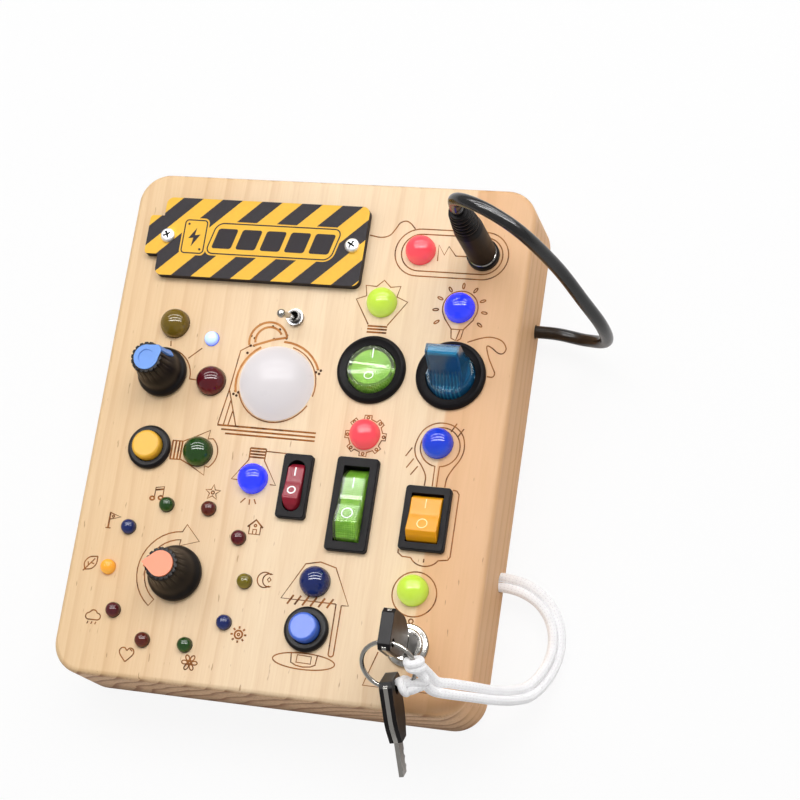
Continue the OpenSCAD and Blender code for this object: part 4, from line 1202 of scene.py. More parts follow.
@dataclass
class Studio:
    """Camera, floor and soft light."""

    eye: Point = (0.2218, -0.1735, 0.6862)
    right: Point = (0.94781, 0.15973, -0.27593)
    up: Point = (-0.07292, 0.95112, 0.30010)
    back: Point = (0.31037, -0.26432, 0.91313)
    lens: float = 98.28
    shift: Point = (0.1265, -0.023)
    floor_z_mm: float = -0.4
    floor_half_mm: float = 4000
    strips: Sequence[Point] = ((25.5, 26.0), (47.0, 20.0), (73.0, 14.0))

    def build(self) -> None:
        """Makes everything that isn't the object."""
        self.camera()
        self.floor()
        self.lights()
        self.world()
        bpy.context.scene.view_settings.view_transform = "Standard"

    def camera(self) -> None:
        """Sets the camera up at the three-quarter view from above."""
        data = bpy.data.cameras.new("camera")
        data.lens, data.sensor_width = self.lens, 36
        data.shift_x, data.shift_y = self.shift
        data.clip_start, data.clip_end = 0.01, 20
        made = linked("camera", data)
        turn = Matrix((self.right, self.up, self.back)).transposed()
        made.matrix_world = Matrix.Translation(self.eye) @ turn.to_4x4()
        bpy.context.scene.camera = made

    def floor(self) -> None:
        """Lays a pale floor that shows nearly white and keeps the object's shadow."""
        half = self.floor_half_mm
        corners = [(x * half, y * half, self.floor_z_mm)
                   for x, y in ((-1, -1), (1, -1), (1, 1), (-1, 1))]
        made = from_mesh_data("studio_floor", corners, [(0, 1, 2, 3)])
        graph = Graph("studio_floor_paper")
        fibre = graph.noise(graph.coords(), 900, 2)
        graph.set(Base_Color=graph.mix(fibre, srgb(236, 236, 237), srgb(243, 243, 243)),
                  Roughness=0.9, Specular_IOR_Level=0.1)
        seen = graph.add("ShaderNodeLightPath").outputs["Is Camera Ray"]
        glow = graph.add("ShaderNodeEmission", {"Color": WHITE})
        blend = graph.add("ShaderNodeMixShader", {
            0: graph.math("MULTIPLY", seen, 0.9), 1: graph.shader.outputs[0],
            2: glow.outputs[0]})
        graph.feed(graph.output.inputs[0], blend.outputs[0])
        made.data.materials.append(graph.material)

    def area(self, name: str, aim: Vector, distance: float, size: Point, radiance: float,
             across: Point, mirrored: bool = True, lights_up: bool = True) -> None:
        """Hangs a rectangular light.

        Args:
            name: The light's name.
            aim: Direction from the object to the light.
            distance: Metres from the board's face.
            size: Width and height, metres.
            radiance: Brightness of its surface.
            across: Direction of its width.
            mirrored: Whether gloss shows it.
            lights_up: Whether it lights matt surfaces.
        """
        data = bpy.data.lights.new(name, "AREA")
        data.shape = "RECTANGLE"
        data.size, data.size_y = size
        data.energy = radiance * math.pi * size[0] * size[1]
        made = linked(name, data)
        back, across = aim.normalized(), Vector(across)
        side = (across - back * across.dot(back)).normalized()
        turn = Matrix((side, back.cross(side), back)).transposed()
        centre = Vector((0, 0, FACE * MM))
        made.matrix_world = Matrix.Translation(centre + back * distance) @ turn.to_4x4()
        made.visible_camera = False
        made.visible_glossy = mirrored
        made.visible_diffuse = lights_up

    def tilted(self, degrees: float) -> Vector:
        """Returns the direction to the camera, tilted up by an angle."""
        a = math.radians(degrees)
        return Vector(self.back) * math.cos(a) + Vector(self.up) * math.sin(a)

    def lights(self) -> None:
        """Hangs three long strips for the glints, and two broad soft lights."""
        for i, (tilt, glow) in enumerate(self.strips):
            self.area(f"strip_light_{i}", self.tilted(tilt), 1.1, (2.3, 0.12), glow,
                      self.right, lights_up=False)
        self.area("key_light", self.tilted(42), 1.1, (1.0, 0.55), 4.1, self.right,
                  mirrored=False)
        self.area("broad_light", Vector((-0.55, 0.45, 0.9)), 1.5, (1.0, 1.0), 1.55,
                  (1, 0, 0), mirrored=False)

    def world(self) -> None:
        """Lights the room evenly; what is seen or mirrored of it is white."""
        world = bpy.data.worlds.new("studio_world")
        world.use_nodes = True
        tree = Nodes(world.node_tree)
        path = tree.add("ShaderNodeLightPath").outputs
        shown = tree.math("MAXIMUM", path["Is Camera Ray"], path["Is Transmission Ray"])
        strength = tree.math("MAXIMUM", tree.span(shown, 0.42, 1.0),
                             tree.span(path["Is Glossy Ray"], 0.0, 0.5))
        shade = tree.add("ShaderNodeBackground", {"Color": WHITE, "Strength": strength})
        tree.add("ShaderNodeOutputWorld", {0: shade.outputs[0]})
        bpy.context.scene.world = world


# --- cords


@dataclass
class PowerLead:
    """Cable from the side of the board to the plug, with the plug and its barrel."""

    radius: float = 2.1
    jack: Point = (54.5, 64.0)
    plug_z: float = 32.8
    plug_end: float = 69.8
    barrel_r: float = 2.75
    barrel_len: float = 9.5
    hole: Point = (70, 46.5, 7)
    route: Sequence[Point] = (
        (56, 46.5, 7), (63, 46.5, 7), (70, 46.5, 7), (78, 46, 7.6), (88, 43.8, 10),
        (96, 41.2, 19), (97, 41, 34.5), (93, 44, 49), (86.7, 49, 64.6), (78.2, 53.2, 81.8),
        (68.7, 57.6, 87), (61, 61, 85.6), (56, 63.4, 80.4), (54.5, 64, 74),
        (54.5, 64, 71.8), (54.5, 64, 69.8))

    def build(self) -> None:
        plug, barrel = self.plug(), self.barrel()
        path = smooth_path(self.route, 8)
        cable = dress(tube("power_cable", path, self.radius, 20), JACKET)
        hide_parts("plug_cable")
        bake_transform(cable)

    def plug(self) -> Thing:
        """Makes the moulded plug with its ringed strain relief."""
        h = self.plug_end - self.plug_z
        low = fillet([(2.8, 0), (4.2, 0), (4.8, 0.6), (4.8, h * 0.6), (4.4, h * 0.66),
                      (4.05, h * 0.69)], 0.5)
        rings: list[Vector] = []
        for i in range(5):
            z, r = h * (0.7 + 0.055 * i), 4.4 - 0.2 * i
            rings += fillet([(r - 0.6, z - 0.12), (r, z), (r, z + h * 0.03),
                             (r - 0.65, z + h * 0.03 + 0.12)], 0.25, 3)
        end = fillet([(3.25, h - 1.2), (3.15, h), (2.2, h)], 0.3, 3)
        made = lathe("plug_body", [(0, 0), *low, *rings, *end, (0, h)],
                     (*self.jack, self.plug_z), 48)
        return fit(dress(made, PLUG_BLACK), "power_plug", ["plug"])

    def barrel(self) -> Thing:
        """Makes the plug's hollow metal barrel."""
        r, top = self.barrel_r, self.barrel_len + 2.5
        made = lathe("plug_metal_barrel", [
            (0, 8.5), (1.05, 8.5), (1.05, 0.2), (1.25, 0), (r - 0.25, 0), (r, 0.25),
            (r, top), (0, top)], (*self.jack, self.plug_z - self.barrel_len), 40)
        return fit(dress(made, NICKEL), "power_plug", ["plug_barrel"])


@dataclass
class KeyCord:
    """Doubled braided cord from the side of the board to the hitch on the key ring."""

    radius: float = 1.55
    hole: Point = (70, -39, 7.5)
    ring_c: Point = (48.4, -76.01, 48.49)
    ring_r: float = 8.5
    outer: Sequence[Point] = (
        (60.9, -37.4, 7.5), (66, -37.4, 7.5), (72, -37.4, 7.5), (79.2, -38.8, 6.6),
        (85.8, -43, 4.5), (90, -50, 2.6), (91, -58.7, 2.2), (89, -67.5, 4.6),
        (85.5, -74.3, 9.9), (81.5, -77.4, 16.5), (77, -79.2, 24.2), (71.6, -80.2, 31.6),
        (65.7, -80.9, 37), (61.4, -81, 40.4), (59.4, -79.7, 43.7))
    inner: Sequence[Point] = (
        (60.9, -40.6, 7.5), (66, -40.6, 7.5), (72, -40.6, 7.5), (78.1, -41.8, 7),
        (83.9, -45.2, 5.8), (87.8, -51.1, 4.7), (88.9, -58.6, 4.9), (87.2, -66, 7.1),
        (83.8, -71.9, 11.4), (79.8, -74.6, 17), (75.6, -76.2, 24.4), (70.8, -77, 31.8),
        (65.6, -77.5, 36.6), (62.1, -77.9, 39.5), (60.2, -76.6, 42.9))

    def build(self) -> None:
        """Makes the hitch, the two strands and the stop inside the wall."""
        knot = self.hitch()
        for name, route in (("cord_strand_outer", self.outer),
                            ("cord_strand_inner", self.inner)):
            path = smooth_path(route, 6)
            strand = dress(tube(name, path, self.radius, 14), CORD_WHITE)
            if route is self.outer:
                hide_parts("key_cord")
            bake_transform(strand)
        self.stop()

    def ring_point(self, a: float) -> tuple[Vector, Vector]:
        """Returns a point of the key ring's wire and the way out from its centre."""
        tilt = Matrix.Rotation(math.radians(45), 3, "X")
        out = tilt @ Vector((math.cos(a), math.sin(a), 0))
        return Vector(self.ring_c) + out * self.ring_r, out

    def hitch(self) -> Thing:
        """Makes the hitch: each strand winds round the ring, with a strap between them."""
        axis = Matrix.Rotation(math.radians(45), 3, "X") @ Vector((0, 0, 1))
        lobes = []
        for end, far, near, side in ((self.inner[-1], 22.0, 2.0, 1), (self.outer[-1], -66.0,
                                                                       -46.0, -1)):
            path = [Vector(end)]
            for i in range(29):
                s = i / 28
                centre, out = self.ring_point(math.radians(near + (far - near) * s))
                w = side * (math.tau * 1.6 * s - 0.5)
                path.append(centre + (out * math.cos(w) + axis * math.sin(w)) * 2.0)
            lobes.append(path)
        middle, out = self.ring_point(math.radians(-20))
        strap = [lobes[0][-1], lobes[0][-1].lerp(middle + out * 3.4, 0.5) + out * 0.7,
                 middle + out * 3.6, lobes[1][-1].lerp(middle + out * 3.4, 0.5) + out * 0.7,
                 lobes[1][-1]]
        parts = [tube(f"turns{i}", smooth_path(path, 3), self.radius, 14,
                      lambda t: 0.98 - 0.14 * min(1.0, t * 6))
                 for i, path in enumerate(lobes)]
        parts.append(tube("strap", smooth_path(strap, 8), self.radius * 0.86, 14))
        made = joined("cord_hitch", parts)
        return fit(dress(made, CORD_WHITE), "key", ["cord_knot"])

    def stop(self) -> None:
        """Makes the knot that keeps the cord inside the board."""
        made = lathe("cord_stop", fillet([(0, -3.8), (2.6, -3.8), (4.1, -2.3), (3.4, -1.1),
                                          (4.1, 0), (3.4, 1.1), (4.1, 2.3), (2.6, 3.8),
                                          (0, 3.8)], 0.6), sides=28)
        layer = made.data.uv_layers.new(name="cord_uv")
        for loop, vertex in zip(layer.data, (l.vertex_index for l in made.data.loops)):
            co = made.data.vertices[vertex].co
            loop.uv = (co.z, math.atan2(co.y, co.x) / math.tau)
        place(made, Matrix.Translation((70 - 9 - 4.2, self.hole[1], self.hole[2]))
              @ Matrix.Rotation(math.radians(90), 4, "Y"))
        fit(dress(made, CORD_WHITE), "board")


# --- board


# Burnt lines of the face, in the words that traced() reads.
FACE_TOP = """
shut @54.55,63.85,8.25,-90,90 @32.75,63.85,8.25,90,270
shut @54.45,63.85,6.45,-90,90 @33.15,63.85,6.45,90,270
flow 14.9,69 18.9,68.4 21.8,69.3 23.5,71.7 24.7,73.8 26.6,74.6 28.3,73.9 30.2,72
line 39.3,61.2 39,66.9 41.3,63.4 42.5,66.5 45.2,63.3 48.8,63.3
line 19.2,37.8 13.8,46.3 17.2,47.7 16.4,51.3 20.1,51.1 22.4,53.4 24.9,51.1 28.3,51.6
27.5,47.9 31.4,46.3 25.7,37.8
firm 19.1,37.3 25.8,37.3 firm 19.1,36.3 25.8,36.3 firm 19.1,35.2 25.8,35.2
line 47.3,38.1 44.6,41.6 @49.3,45.4,5.9,212,-32 54.2,41.6 51.3,38.1
line 47.2,38.1 51.4,38.1 50.9,35 49.7,34.2
line 47.3,38 47.7,35 49.3,34.3 50.2,37.9"""
FACE_RIGHT = """
flow 53.3,34 57.8,35.7 61.2,36.2 64.6,35.2 66.3,32.8 65.5,31 63.8,31.1 61.7,32.6
60.2,33.2 60,32.3 61.2,29 62.8,26 63.7,24.2 63.2,22.9 61.3,22.9"""
FACE_REST = """
flow 46.2,-14.8 46.1,-11.6 44.4,-8.5 42,-5.4 41.3,-1.6 42.9,3 46,5.6 49.6,6.3 53.4,5.4
56.4,2.6 57.4,-1.6 56.6,-5.2 54.7,-8.4 53.2,-11.6 52.9,-14.8
line 48.8,-14.8 @49.5,-1.7,6.5,263,-84 50.2,-14.8
line 53.9,6.5 52.3,3.6 line 56.4,4.9 54.7,2.1 line 40.4,-2.6 38.6,-5.6
line 41.4,-6.2 39.4,-9.4 line 43.1,-8.6 41.1,-11.6
line 55.7,-15.4 57,-15.6 57.9,-16.7 57.9,-37 57.3,-38.1 54.6,-38.5
@49.8,-36.6,5,-28,-152,4.2 45,-38.4 42.4,-38.3 40.9,-37.2 40.9,-36
line 49.6,-38.4 49.6,-39.6
line @-49,14.9,9.6,86,-2 line -48.5,27.3 -48.2,25.4 line -41.2,21.6 -36.9,25.5
line -39.6,14.5 -37.1,14.3 shut @48.2,-50,7.2,0,360
line 39.4,-69.4 36,-80.3 56.8,-80.4 54.4,-71.5 shut @48.4,-58.6,0.7,0,360
line -19.9,27.7 -23.2,25.6 -24.7,12.2 -26.7,-0.3
line -23.6,8.2 -24.7,-0.3 line -24.6,11.5 -20.4,-0.3 line -22.3,4.6 -23.1,-0.3
line @-8.6,15.1,13.3,75,-15 line @-8.6,15.1,13.3,195,330
firm -26.8,-0.5 7.5,-0.6 firm -25.2,-1.85 7.5,-1.95 firm -23.6,-3.2 7.5,-3.3
line -37.6,-7.1 -34,-5.4 -28.8,-2.6 -29.1,-5.6 @-31.2,-10.3,6.2,52,-52 -28.7,-14.8
-28.4,-18 -34,-14.9 -37.6,-13.3
firm -41.2,-7.2 -41.2,-13.4 firm -40,-7.2 -40,-13.4
firm -38.8,-7.2 -38.8,-13.4 firm -37.8,-7.2 -37.8,-13.4
line -41.4,-7.1 -37.6,-7.1 line -41.4,-13.5 -37.6,-13.4
firm -13.8,-7.4 -8.4,-7.4 firm -13.8,-8.4 -8.4,-8.4
firm -13.8,-9.4 -8.4,-9.4 firm -13.8,-10.4 -8.4,-10.4
line -13.9,-7.3 -13.8,-11.4 -18.7,-18.3 -16.6,-18.4
line -8.3,-7.4 -8.4,-11.3 -3.2,-19.2 -5.2,-19.1 line -8.3,-8.1 2.2,-8.3 2.4,-8.9
line -12.7,-24.3 -14.2,-26 line -11.2,-24.6 -11.1,-26.4 line -9.7,-24.4 -8.9,-26
line 23.3,-55.8 4.9,-55.7 11.3,-43.9 16.1,-42.8 21.5,-44.2 27.5,-56 25.2,-56.1
line 25.2,-56.1 25.1,-71.8 @24.25,-71.8,0.85,0,-180 23.4,-55.8
shut @15.7,-75.1,10.3,0,360,2.6
line 11.3,-72.8 11.6,-75.8 13.4,-76.6 15.8,-76.9 18.2,-76.6 19.7,-75.9 20,-72.8
shut 13.4,-73.2 18.1,-73.4 18.1,-75.7 13.3,-75.6
firm 9,-54.3 7.2,-57.4 firm 11.5,-54.3 9.7,-57.4 firm 14.1,-54.3 12.3,-57.4
firm 16.8,-54.3 15,-57.4 firm 19.5,-54.3 17.7,-57.4 firm 22.3,-54.3 20.5,-57.4
shut @-31.5,-51.5,14,235,93 -31,-35 -25.9,-40.2 -32.5,-42.3 -32.3,-40.3
@-31.5,-51.5,11.3,94,235"""
BANDS = """
bold @-8.6,15.1,14.6,24,90 bold @-8.6,15.1,14.4,122,196 bold @-14.2,29.6,6.6,196,14
bold @-14,29.8,4.7,192,30 bold -19,27.7 -12.4,30.2 -8,31.2"""
RAYS = ((45.2, 51.6), (49.4, 53.1), (53.6, 51.8), (56.5, 48.3), (57.5, 44.3), (56.5, 40.1),
        (42.2, 48.4), (41.2, 44.4), (42.1, 40.2))
# A plain sign beside each small lamp: its place, and its strokes about its middle.
SIGNS = {
    "note": (-43.5, -25.5, """rim @-1.4,-1.8,0.75,0,360,0.6 rim @1.5,-1.4,0.75,0,360,0.6
        line -0.7,-1.7 -0.7,1.9 2.2,2.4 2.2,-1.3 firm -0.7,1.1 2.2,1.6"""),
    "star": (-24.2, -23.5, """shut ~2.7,90 ~1.15,54 ~2.7,18 ~1.15,-18 ~2.7,-54 ~1.15,-90
        ~2.7,-126 ~1.15,-162 ~2.7,-198 ~1.15,-234 shut @0,0,0.5,0,360"""),
    "house": (-7.7, -33.7, """line -1.9,0.3 -1.9,-2.3 1.9,-2.3 1.9,0.3 firm -2.6,0 0,2.5
        2.6,0 line -0.6,-2.3 -0.6,-0.7 0.6,-0.7 0.6,-2.3 shut @0,0.6,0.4,0,360"""),
    "moon": (-1.5, -50.5, """shut @0,0,2.5,50,310 @1.5,0,2.15,294,66
        shut 1.5,1 2.1,0.2 1.5,-0.6 0.9,0.2"""),
    "sun": (-7.2, -69, """rim @0,0,1.3,0,360 shut @0,0,0.4,0,360
        firm ~1.9,0 ~2.7,0 firm ~1.9,45 ~2.7,45 firm ~1.9,90 ~2.7,90
        firm ~1.9,135 ~2.7,135 firm ~1.9,180 ~2.7,180 firm ~1.9,225 ~2.7,225
        firm ~1.9,270 ~2.7,270 firm ~1.9,315 ~2.7,315"""),
    "flower": (-22, -79.8, "rim @0,0,0.45,0,360"),
    "heart": (-44, -79.5, """flow 0,1.1 0.8,2 1.9,1.9 2.5,0.9 2,-0.4 0,-2.5
        flow 0,1.1 -0.8,2 -1.9,1.9 -2.5,0.9 -2,-0.4 0,-2.5 line @1.1,0.8,0.8,20,100"""),
    "cloud": (-58, -68.7, """shut @-1.4,0.2,1.1,270,100 @0.1,1,1.3,150,20
        @1.6,0.2,1.1,70,-90 line -1.3,-1.5 -1.6,-2.4 line 0.1,-1.5 -0.2,-2.4
        line 1.5,-1.5 1.2,-2.4"""),
    "leaf": (-62.3, -51, """flow -1.6,-2.3 -2.1,0 -0.6,1.9 2.2,2.4 flow -1.6,-2.3 0.7,-1.8
        2.1,-0.1 2.2,2.4 line -2.2,-2.8 1.4,1.6 line -0.6,-0.9 -0.9,0.4
        line 0.2,0.1 1.4,-0.2"""),
    "flag": (-56.8, -36, """firm -1.7,-2.7 -1.7,2.7 line -1.7,2.5 2.2,1.3 -1.7,0.2
        line -2.6,-2.7 -0.8,-2.7 shut @-0.5,1.35,0.35,0,360"""),
}


@dataclass
class PineBoard:
    """The pocketed pine block, its burnt drawings, the back panel and its screws."""

    strokes: Tree
    repeats: Tree
    gear_at: Point = (24.3, 0.0)
    gear_teeth: int = 8
    bulb_at: Point = (49.3, 45.4)
    screws_x: float = 63.43
    screws_y: Point = (-72, 4, 72)

    def build(self) -> None:
        """Makes the block, the drawings, the back panel and its screws."""
        skin("pine_block", "body", PINE, "board", "pine", bevel=0, shade=26)
        for name, strokes, finish, lift, width, depth, wobble in (
                ("burnt_drawings", self.drawings(), BURNT_LINE, 0.0, 0.42, 0.06, 0.3),
                ("burnt_dots", self.dots(), BURNT_DOT, 0.02, 0.5, 0.07, 0.3),
                ("burnt_bands", traced(BANDS), BURNT_BAND, 0.005, 0.36, 0.07, 0.1)):
            fit(drawn(name, strokes, finish, self.strokes,
                      Matrix.Translation((0, 0, FACE + lift)), width, depth, wobble),
                "board")
        skin("plywood_back", "back_panel", PLYWOOD, "board", "plywood", bevel=0.25)
        self.back_screws()

    def back_screws(self) -> None:
        """Repeats the countersunk cross-head screws of the back panel."""
        head = lathe("screw", [(0, 0.05), *fillet([(2.0, 0), (2.2, 0.3), (1.1, 1.4)], 0.12),
                               (1.1, 9.6), (0, 9.9)], sides=28)
        cut_away(head, cross_slot(2.6, 0.62, 1.0, 0.0))
        points = [(s * self.screws_x, y, 0) for s in (-1, 1) for y in self.screws_y]
        turns = [(0, 0, (37 * i) % 90) for i in range(len(points))]
        made = repeated("back_panel_screws", head, points, turns, STEEL, self.repeats)
        fit(made, "board", ["back_screws"])

    def drawings(self) -> list[Stroke]:
        """Returns the thin burnt lines of the whole face."""
        x0, y0 = self.bulb_at
        rays = [petal(x, y, math.atan2(y - y0, x - x0), 0.95, 0.36) for x, y in RAYS]
        out = [*traced(FACE_TOP), *rays, *traced(FACE_RIGHT), *self.gear(),
               *traced(FACE_REST)]
        for name, (x, y, words) in SIGNS.items():
            sign = traced(words)
            if name == "flower":
                sign = [petal(1.7 * math.cos(a), 1.7 * math.sin(a), a, 0.95, 0.6)
                        for a in (math.tau * k / 6 for k in range(6))] + sign
            out += [stroke.moved(x, y) for stroke in sign]
        return out

    def gear(self) -> list[Stroke]:
        """Toothed wheel round the red lamp."""
        (cx, cy), teeth = self.gear_at, self.gear_teeth
        points = [(cx + r * math.cos(a), cy + r * math.sin(a)) for r, a in (
            (r, math.tau * (k + step * 0.9) / teeth) for k in range(teeth)
            for step, r in ((-0.30, 5.7), (-0.24, 6.95), (0.24, 6.95), (0.30, 5.7)))]
        return [Stroke(points, closed=True)] + [
            circle(cx + 6.1 * math.cos(a), cy + 6.1 * math.sin(a), 0.42)
            for a in (math.tau * k / teeth for k in range(teeth))]

    def dots(self) -> list[Stroke]:
        """Returns the near-black dots where the beam stood still."""
        spots = [(-17.9, 35.1), (-13.4, 34.8), (-10.8, 33.9), (-20.4, 31), (-19, 30.3),
                 (-8, 32), (-8, 31), (-12.3, 30.4), (-18.8, 27.7), (-20, 27.6),
                 (-20.7, 25)]
        for x, y in ((4.9, 20.4), (-22.3, 10.8)):
            spots += [(x + 0.85 * math.cos(a), y + 0.85 * math.sin(a))
                      for a in (math.tau * k / 4 + 0.4 for k in range(4))]
        return [circle(x, y, 0.2) for x, y in spots]


def cross_slot(width: float, bar: float, depth: float, z: float) -> Thing:
    """Makes the tapered cross that a screw's recess is cut with.

    Args:
        width: Length of the cross's bars.
        bar: Thickness of the bars.
        depth: Depth of the recess; the cross points up from below when positive.
        z: Height of the recess's mouth.

    Returns:
        The cutter.
    """
    bm = bmesh.new()
    for turn in (0, 90):
        made = bmesh.ops.create_cube(bm, size=1.0)
        for v in made["verts"]:
            deep = v.co.z > 0
            v.co = Vector((v.co.x * width * (0.55 if deep else 1.0),
                           v.co.y * bar * (0.75 if deep else 1.0),
                           z + (depth if deep else -math.copysign(0.3, depth)))) * MM
        bmesh.ops.rotate(bm, verts=made["verts"], matrix=Matrix.Rotation(
            math.radians(turn), 3, "Z"))
    made = from_bmesh("cross", bm)
    outward(made)
    return made


def cut_away(thing: Thing, cutter: Thing) -> None:
    """Cuts a shape out of a mesh and removes the cutter."""
    cut = thing.modifiers.new("cut", "BOOLEAN")
    cut.operation, cut.solver, cut.object = "DIFFERENCE", "EXACT", cutter
    cut.use_self = True
    settle(thing)
    bpy.data.objects.remove(cutter)
    soft_shade(thing)


def darken_recess(thing: Thing, spots: Sequence[Point], r: float, low: float, high: float
                  ) -> None:
    """Paints shade on the walls and floors of screw recesses with a dark finish.

    Args:
        thing: The screws.
        spots: The middle of each head, in millimetres.
        r: How far from the middle the recess reaches.
        low: Lowest face that counts, over the spot.
        high: Highest face that counts, over the spot.
    """
    thing.data.materials.append(RECESS_SHADE.material())
    for face in thing.data.polygons:
        c = face.center / MM
        if any(math.hypot(c.x - x, c.y - y) < r and low < c.z - z < high
               for x, y, z in spots):
            face.material_index = 1


# --- battery bay


@dataclass
class BatteryBay:
    """Striped cover with its printed panel and screws, and the cells under it."""

    strokes: Tree
    repeats: Tree
    at: Point = (-21.7, 63.7)
    top: float = 33.0
    screws_at: Point = (-33.6, 32.1)

    def build(self) -> None:
        """Makes the cover, the printed panel, the screws and the inside."""
        skin("striped_cover", "battery_cover", HAZARD, "board", "hazard_yellow",
             bevel=0.22)
        self.panel()
        self.screws()
        dress_node("battery_holder", BLACK)
        dress_node("battery_contacts", TIN)
        dress_node("battery_cells", SLEEVE)

    def plate(self, name: str, outline: Sequence[Point], low: float, high: float,
              finish: Finish) -> Thing:
        """Makes a thin flat print from an outline about the cover's middle.

        Args:
            name: The piece's name.
            outline: Corners, counterclockwise.
            low: Bottom height.
            high: Top height.
            finish: Its finish.

        Returns:
            The piece.
        """
        n = len(outline)
        verts = [(self.at[0] + x, self.at[1] + y, z) for z in (low, high)
                 for x, y in outline]
        faces = [tuple(range(n))[::-1], tuple(range(n, 2 * n))]
        faces += [(i, (i + 1) % n, n + (i + 1) % n, n + i) for i in range(n)]
        made = from_mesh_data(name, verts, faces)
        return fit(dress(made, finish), "board")

    @staticmethod
    def rounded_box(cx: float, cy: float, w: float, h: float, r: float, lean: float = 0.0
                    ) -> list[Point]:
        """Returns the outline of a rounded box whose top leans right."""
        points: list[Point] = []
        for sx, sy, a in ((1, -1, -90), (1, 1, 0), (-1, 1, 90), (-1, -1, 180)):
            points += arc(cx + sx * (w / 2 - r), cy + sy * (h / 2 - r), r, a, a + 90)
        return [(x + (y - cy) * lean, y) for x, y in points]

    def panel(self) -> None:
        """Prints a bolt card and a charge gauge of slanted blocks."""
        z = self.top
        self.plate("gauge_ground", self.rounded_box(4.3, 0.0, 46.0, 12.4, 3.2, 0.25),
                   z - 0.3, z + 0.05, PRINT_YELLOW)
        self.plate("card_ground", self.rounded_box(-24.1, 0.2, 9.4, 13.4, 1.8),
                   z - 0.3, z + 0.04, PRINT_YELLOW)
        outline = self.rounded_box(4.3, 0.0, 44.4, 11.0, 2.6, 0.25)
        self.drawn_print("gauge_outline", [Stroke(outline, closed=True)], z + 0.05)
        card = self.rounded_box(-24.1, 0.2, 7.9, 11.9, 1.2)
        bolt = [(-23.6, 3.4), (-26.2, -0.5), (-24.4, -0.2), (-24.8, -3.4), (-22.0, 1.0),
                (-24.0, 0.7)]
        self.drawn_print("card_outline", [Stroke(card, closed=True),
                                          circle(-26.7, 4.7, 0.2),
                                          circle(-21.5, -4.3, 0.2)], z + 0.04)
        self.plate("card_bolt", bolt, z - 0.2, z + 0.08, PRINT_BLACK)
        for i in range(5):
            cx = -13.0 + 8.65 * i
            self.plate(f"gauge_block_{i}", self.rounded_box(cx, 0.0, 7.0, 7.2, 0.9, 0.25),
                       z - 0.2, z + 0.09, PRINT_BLACK)

    def drawn_print(self, name: str, strokes: Sequence[Stroke], z: float) -> None:
        """Prints thin black lines on the cover."""
        fit(drawn(name, strokes, PRINT_BLACK, self.strokes,
                  Matrix.Translation((*self.at, z)), width=0.5, wobble=0.06), "board")

    def screws(self) -> None:
        """Repeats the cross-head pan screws of the cover."""
        head = lathe("screw", [(0, -12), (1.2, -11.6), (1.4, -10.8), (1.4, -0.02),
                               (2.42, 0.0), (2.5, 0.12), (2.5, 0.6), (2.3, 1.1),
                               (1.85, 1.5), (1.2, 1.7), (0, 1.76)], sides=40)
        cut_away(head, cross_slot(3.5, 0.9, -1.1, 1.95))
        points = [(self.at[0] + x, self.at[1], self.top) for x in self.screws_at]
        made = repeated("cover_pan_screws", head, points, [(0, 0, 25), (0, 0, 62)],
                        SCREW_WHITE, self.repeats)
        darken_recess(made, points, 1.9, 0.05, 1.44)
        fit(made, "board", ["cover_screws"])


# --- lamps


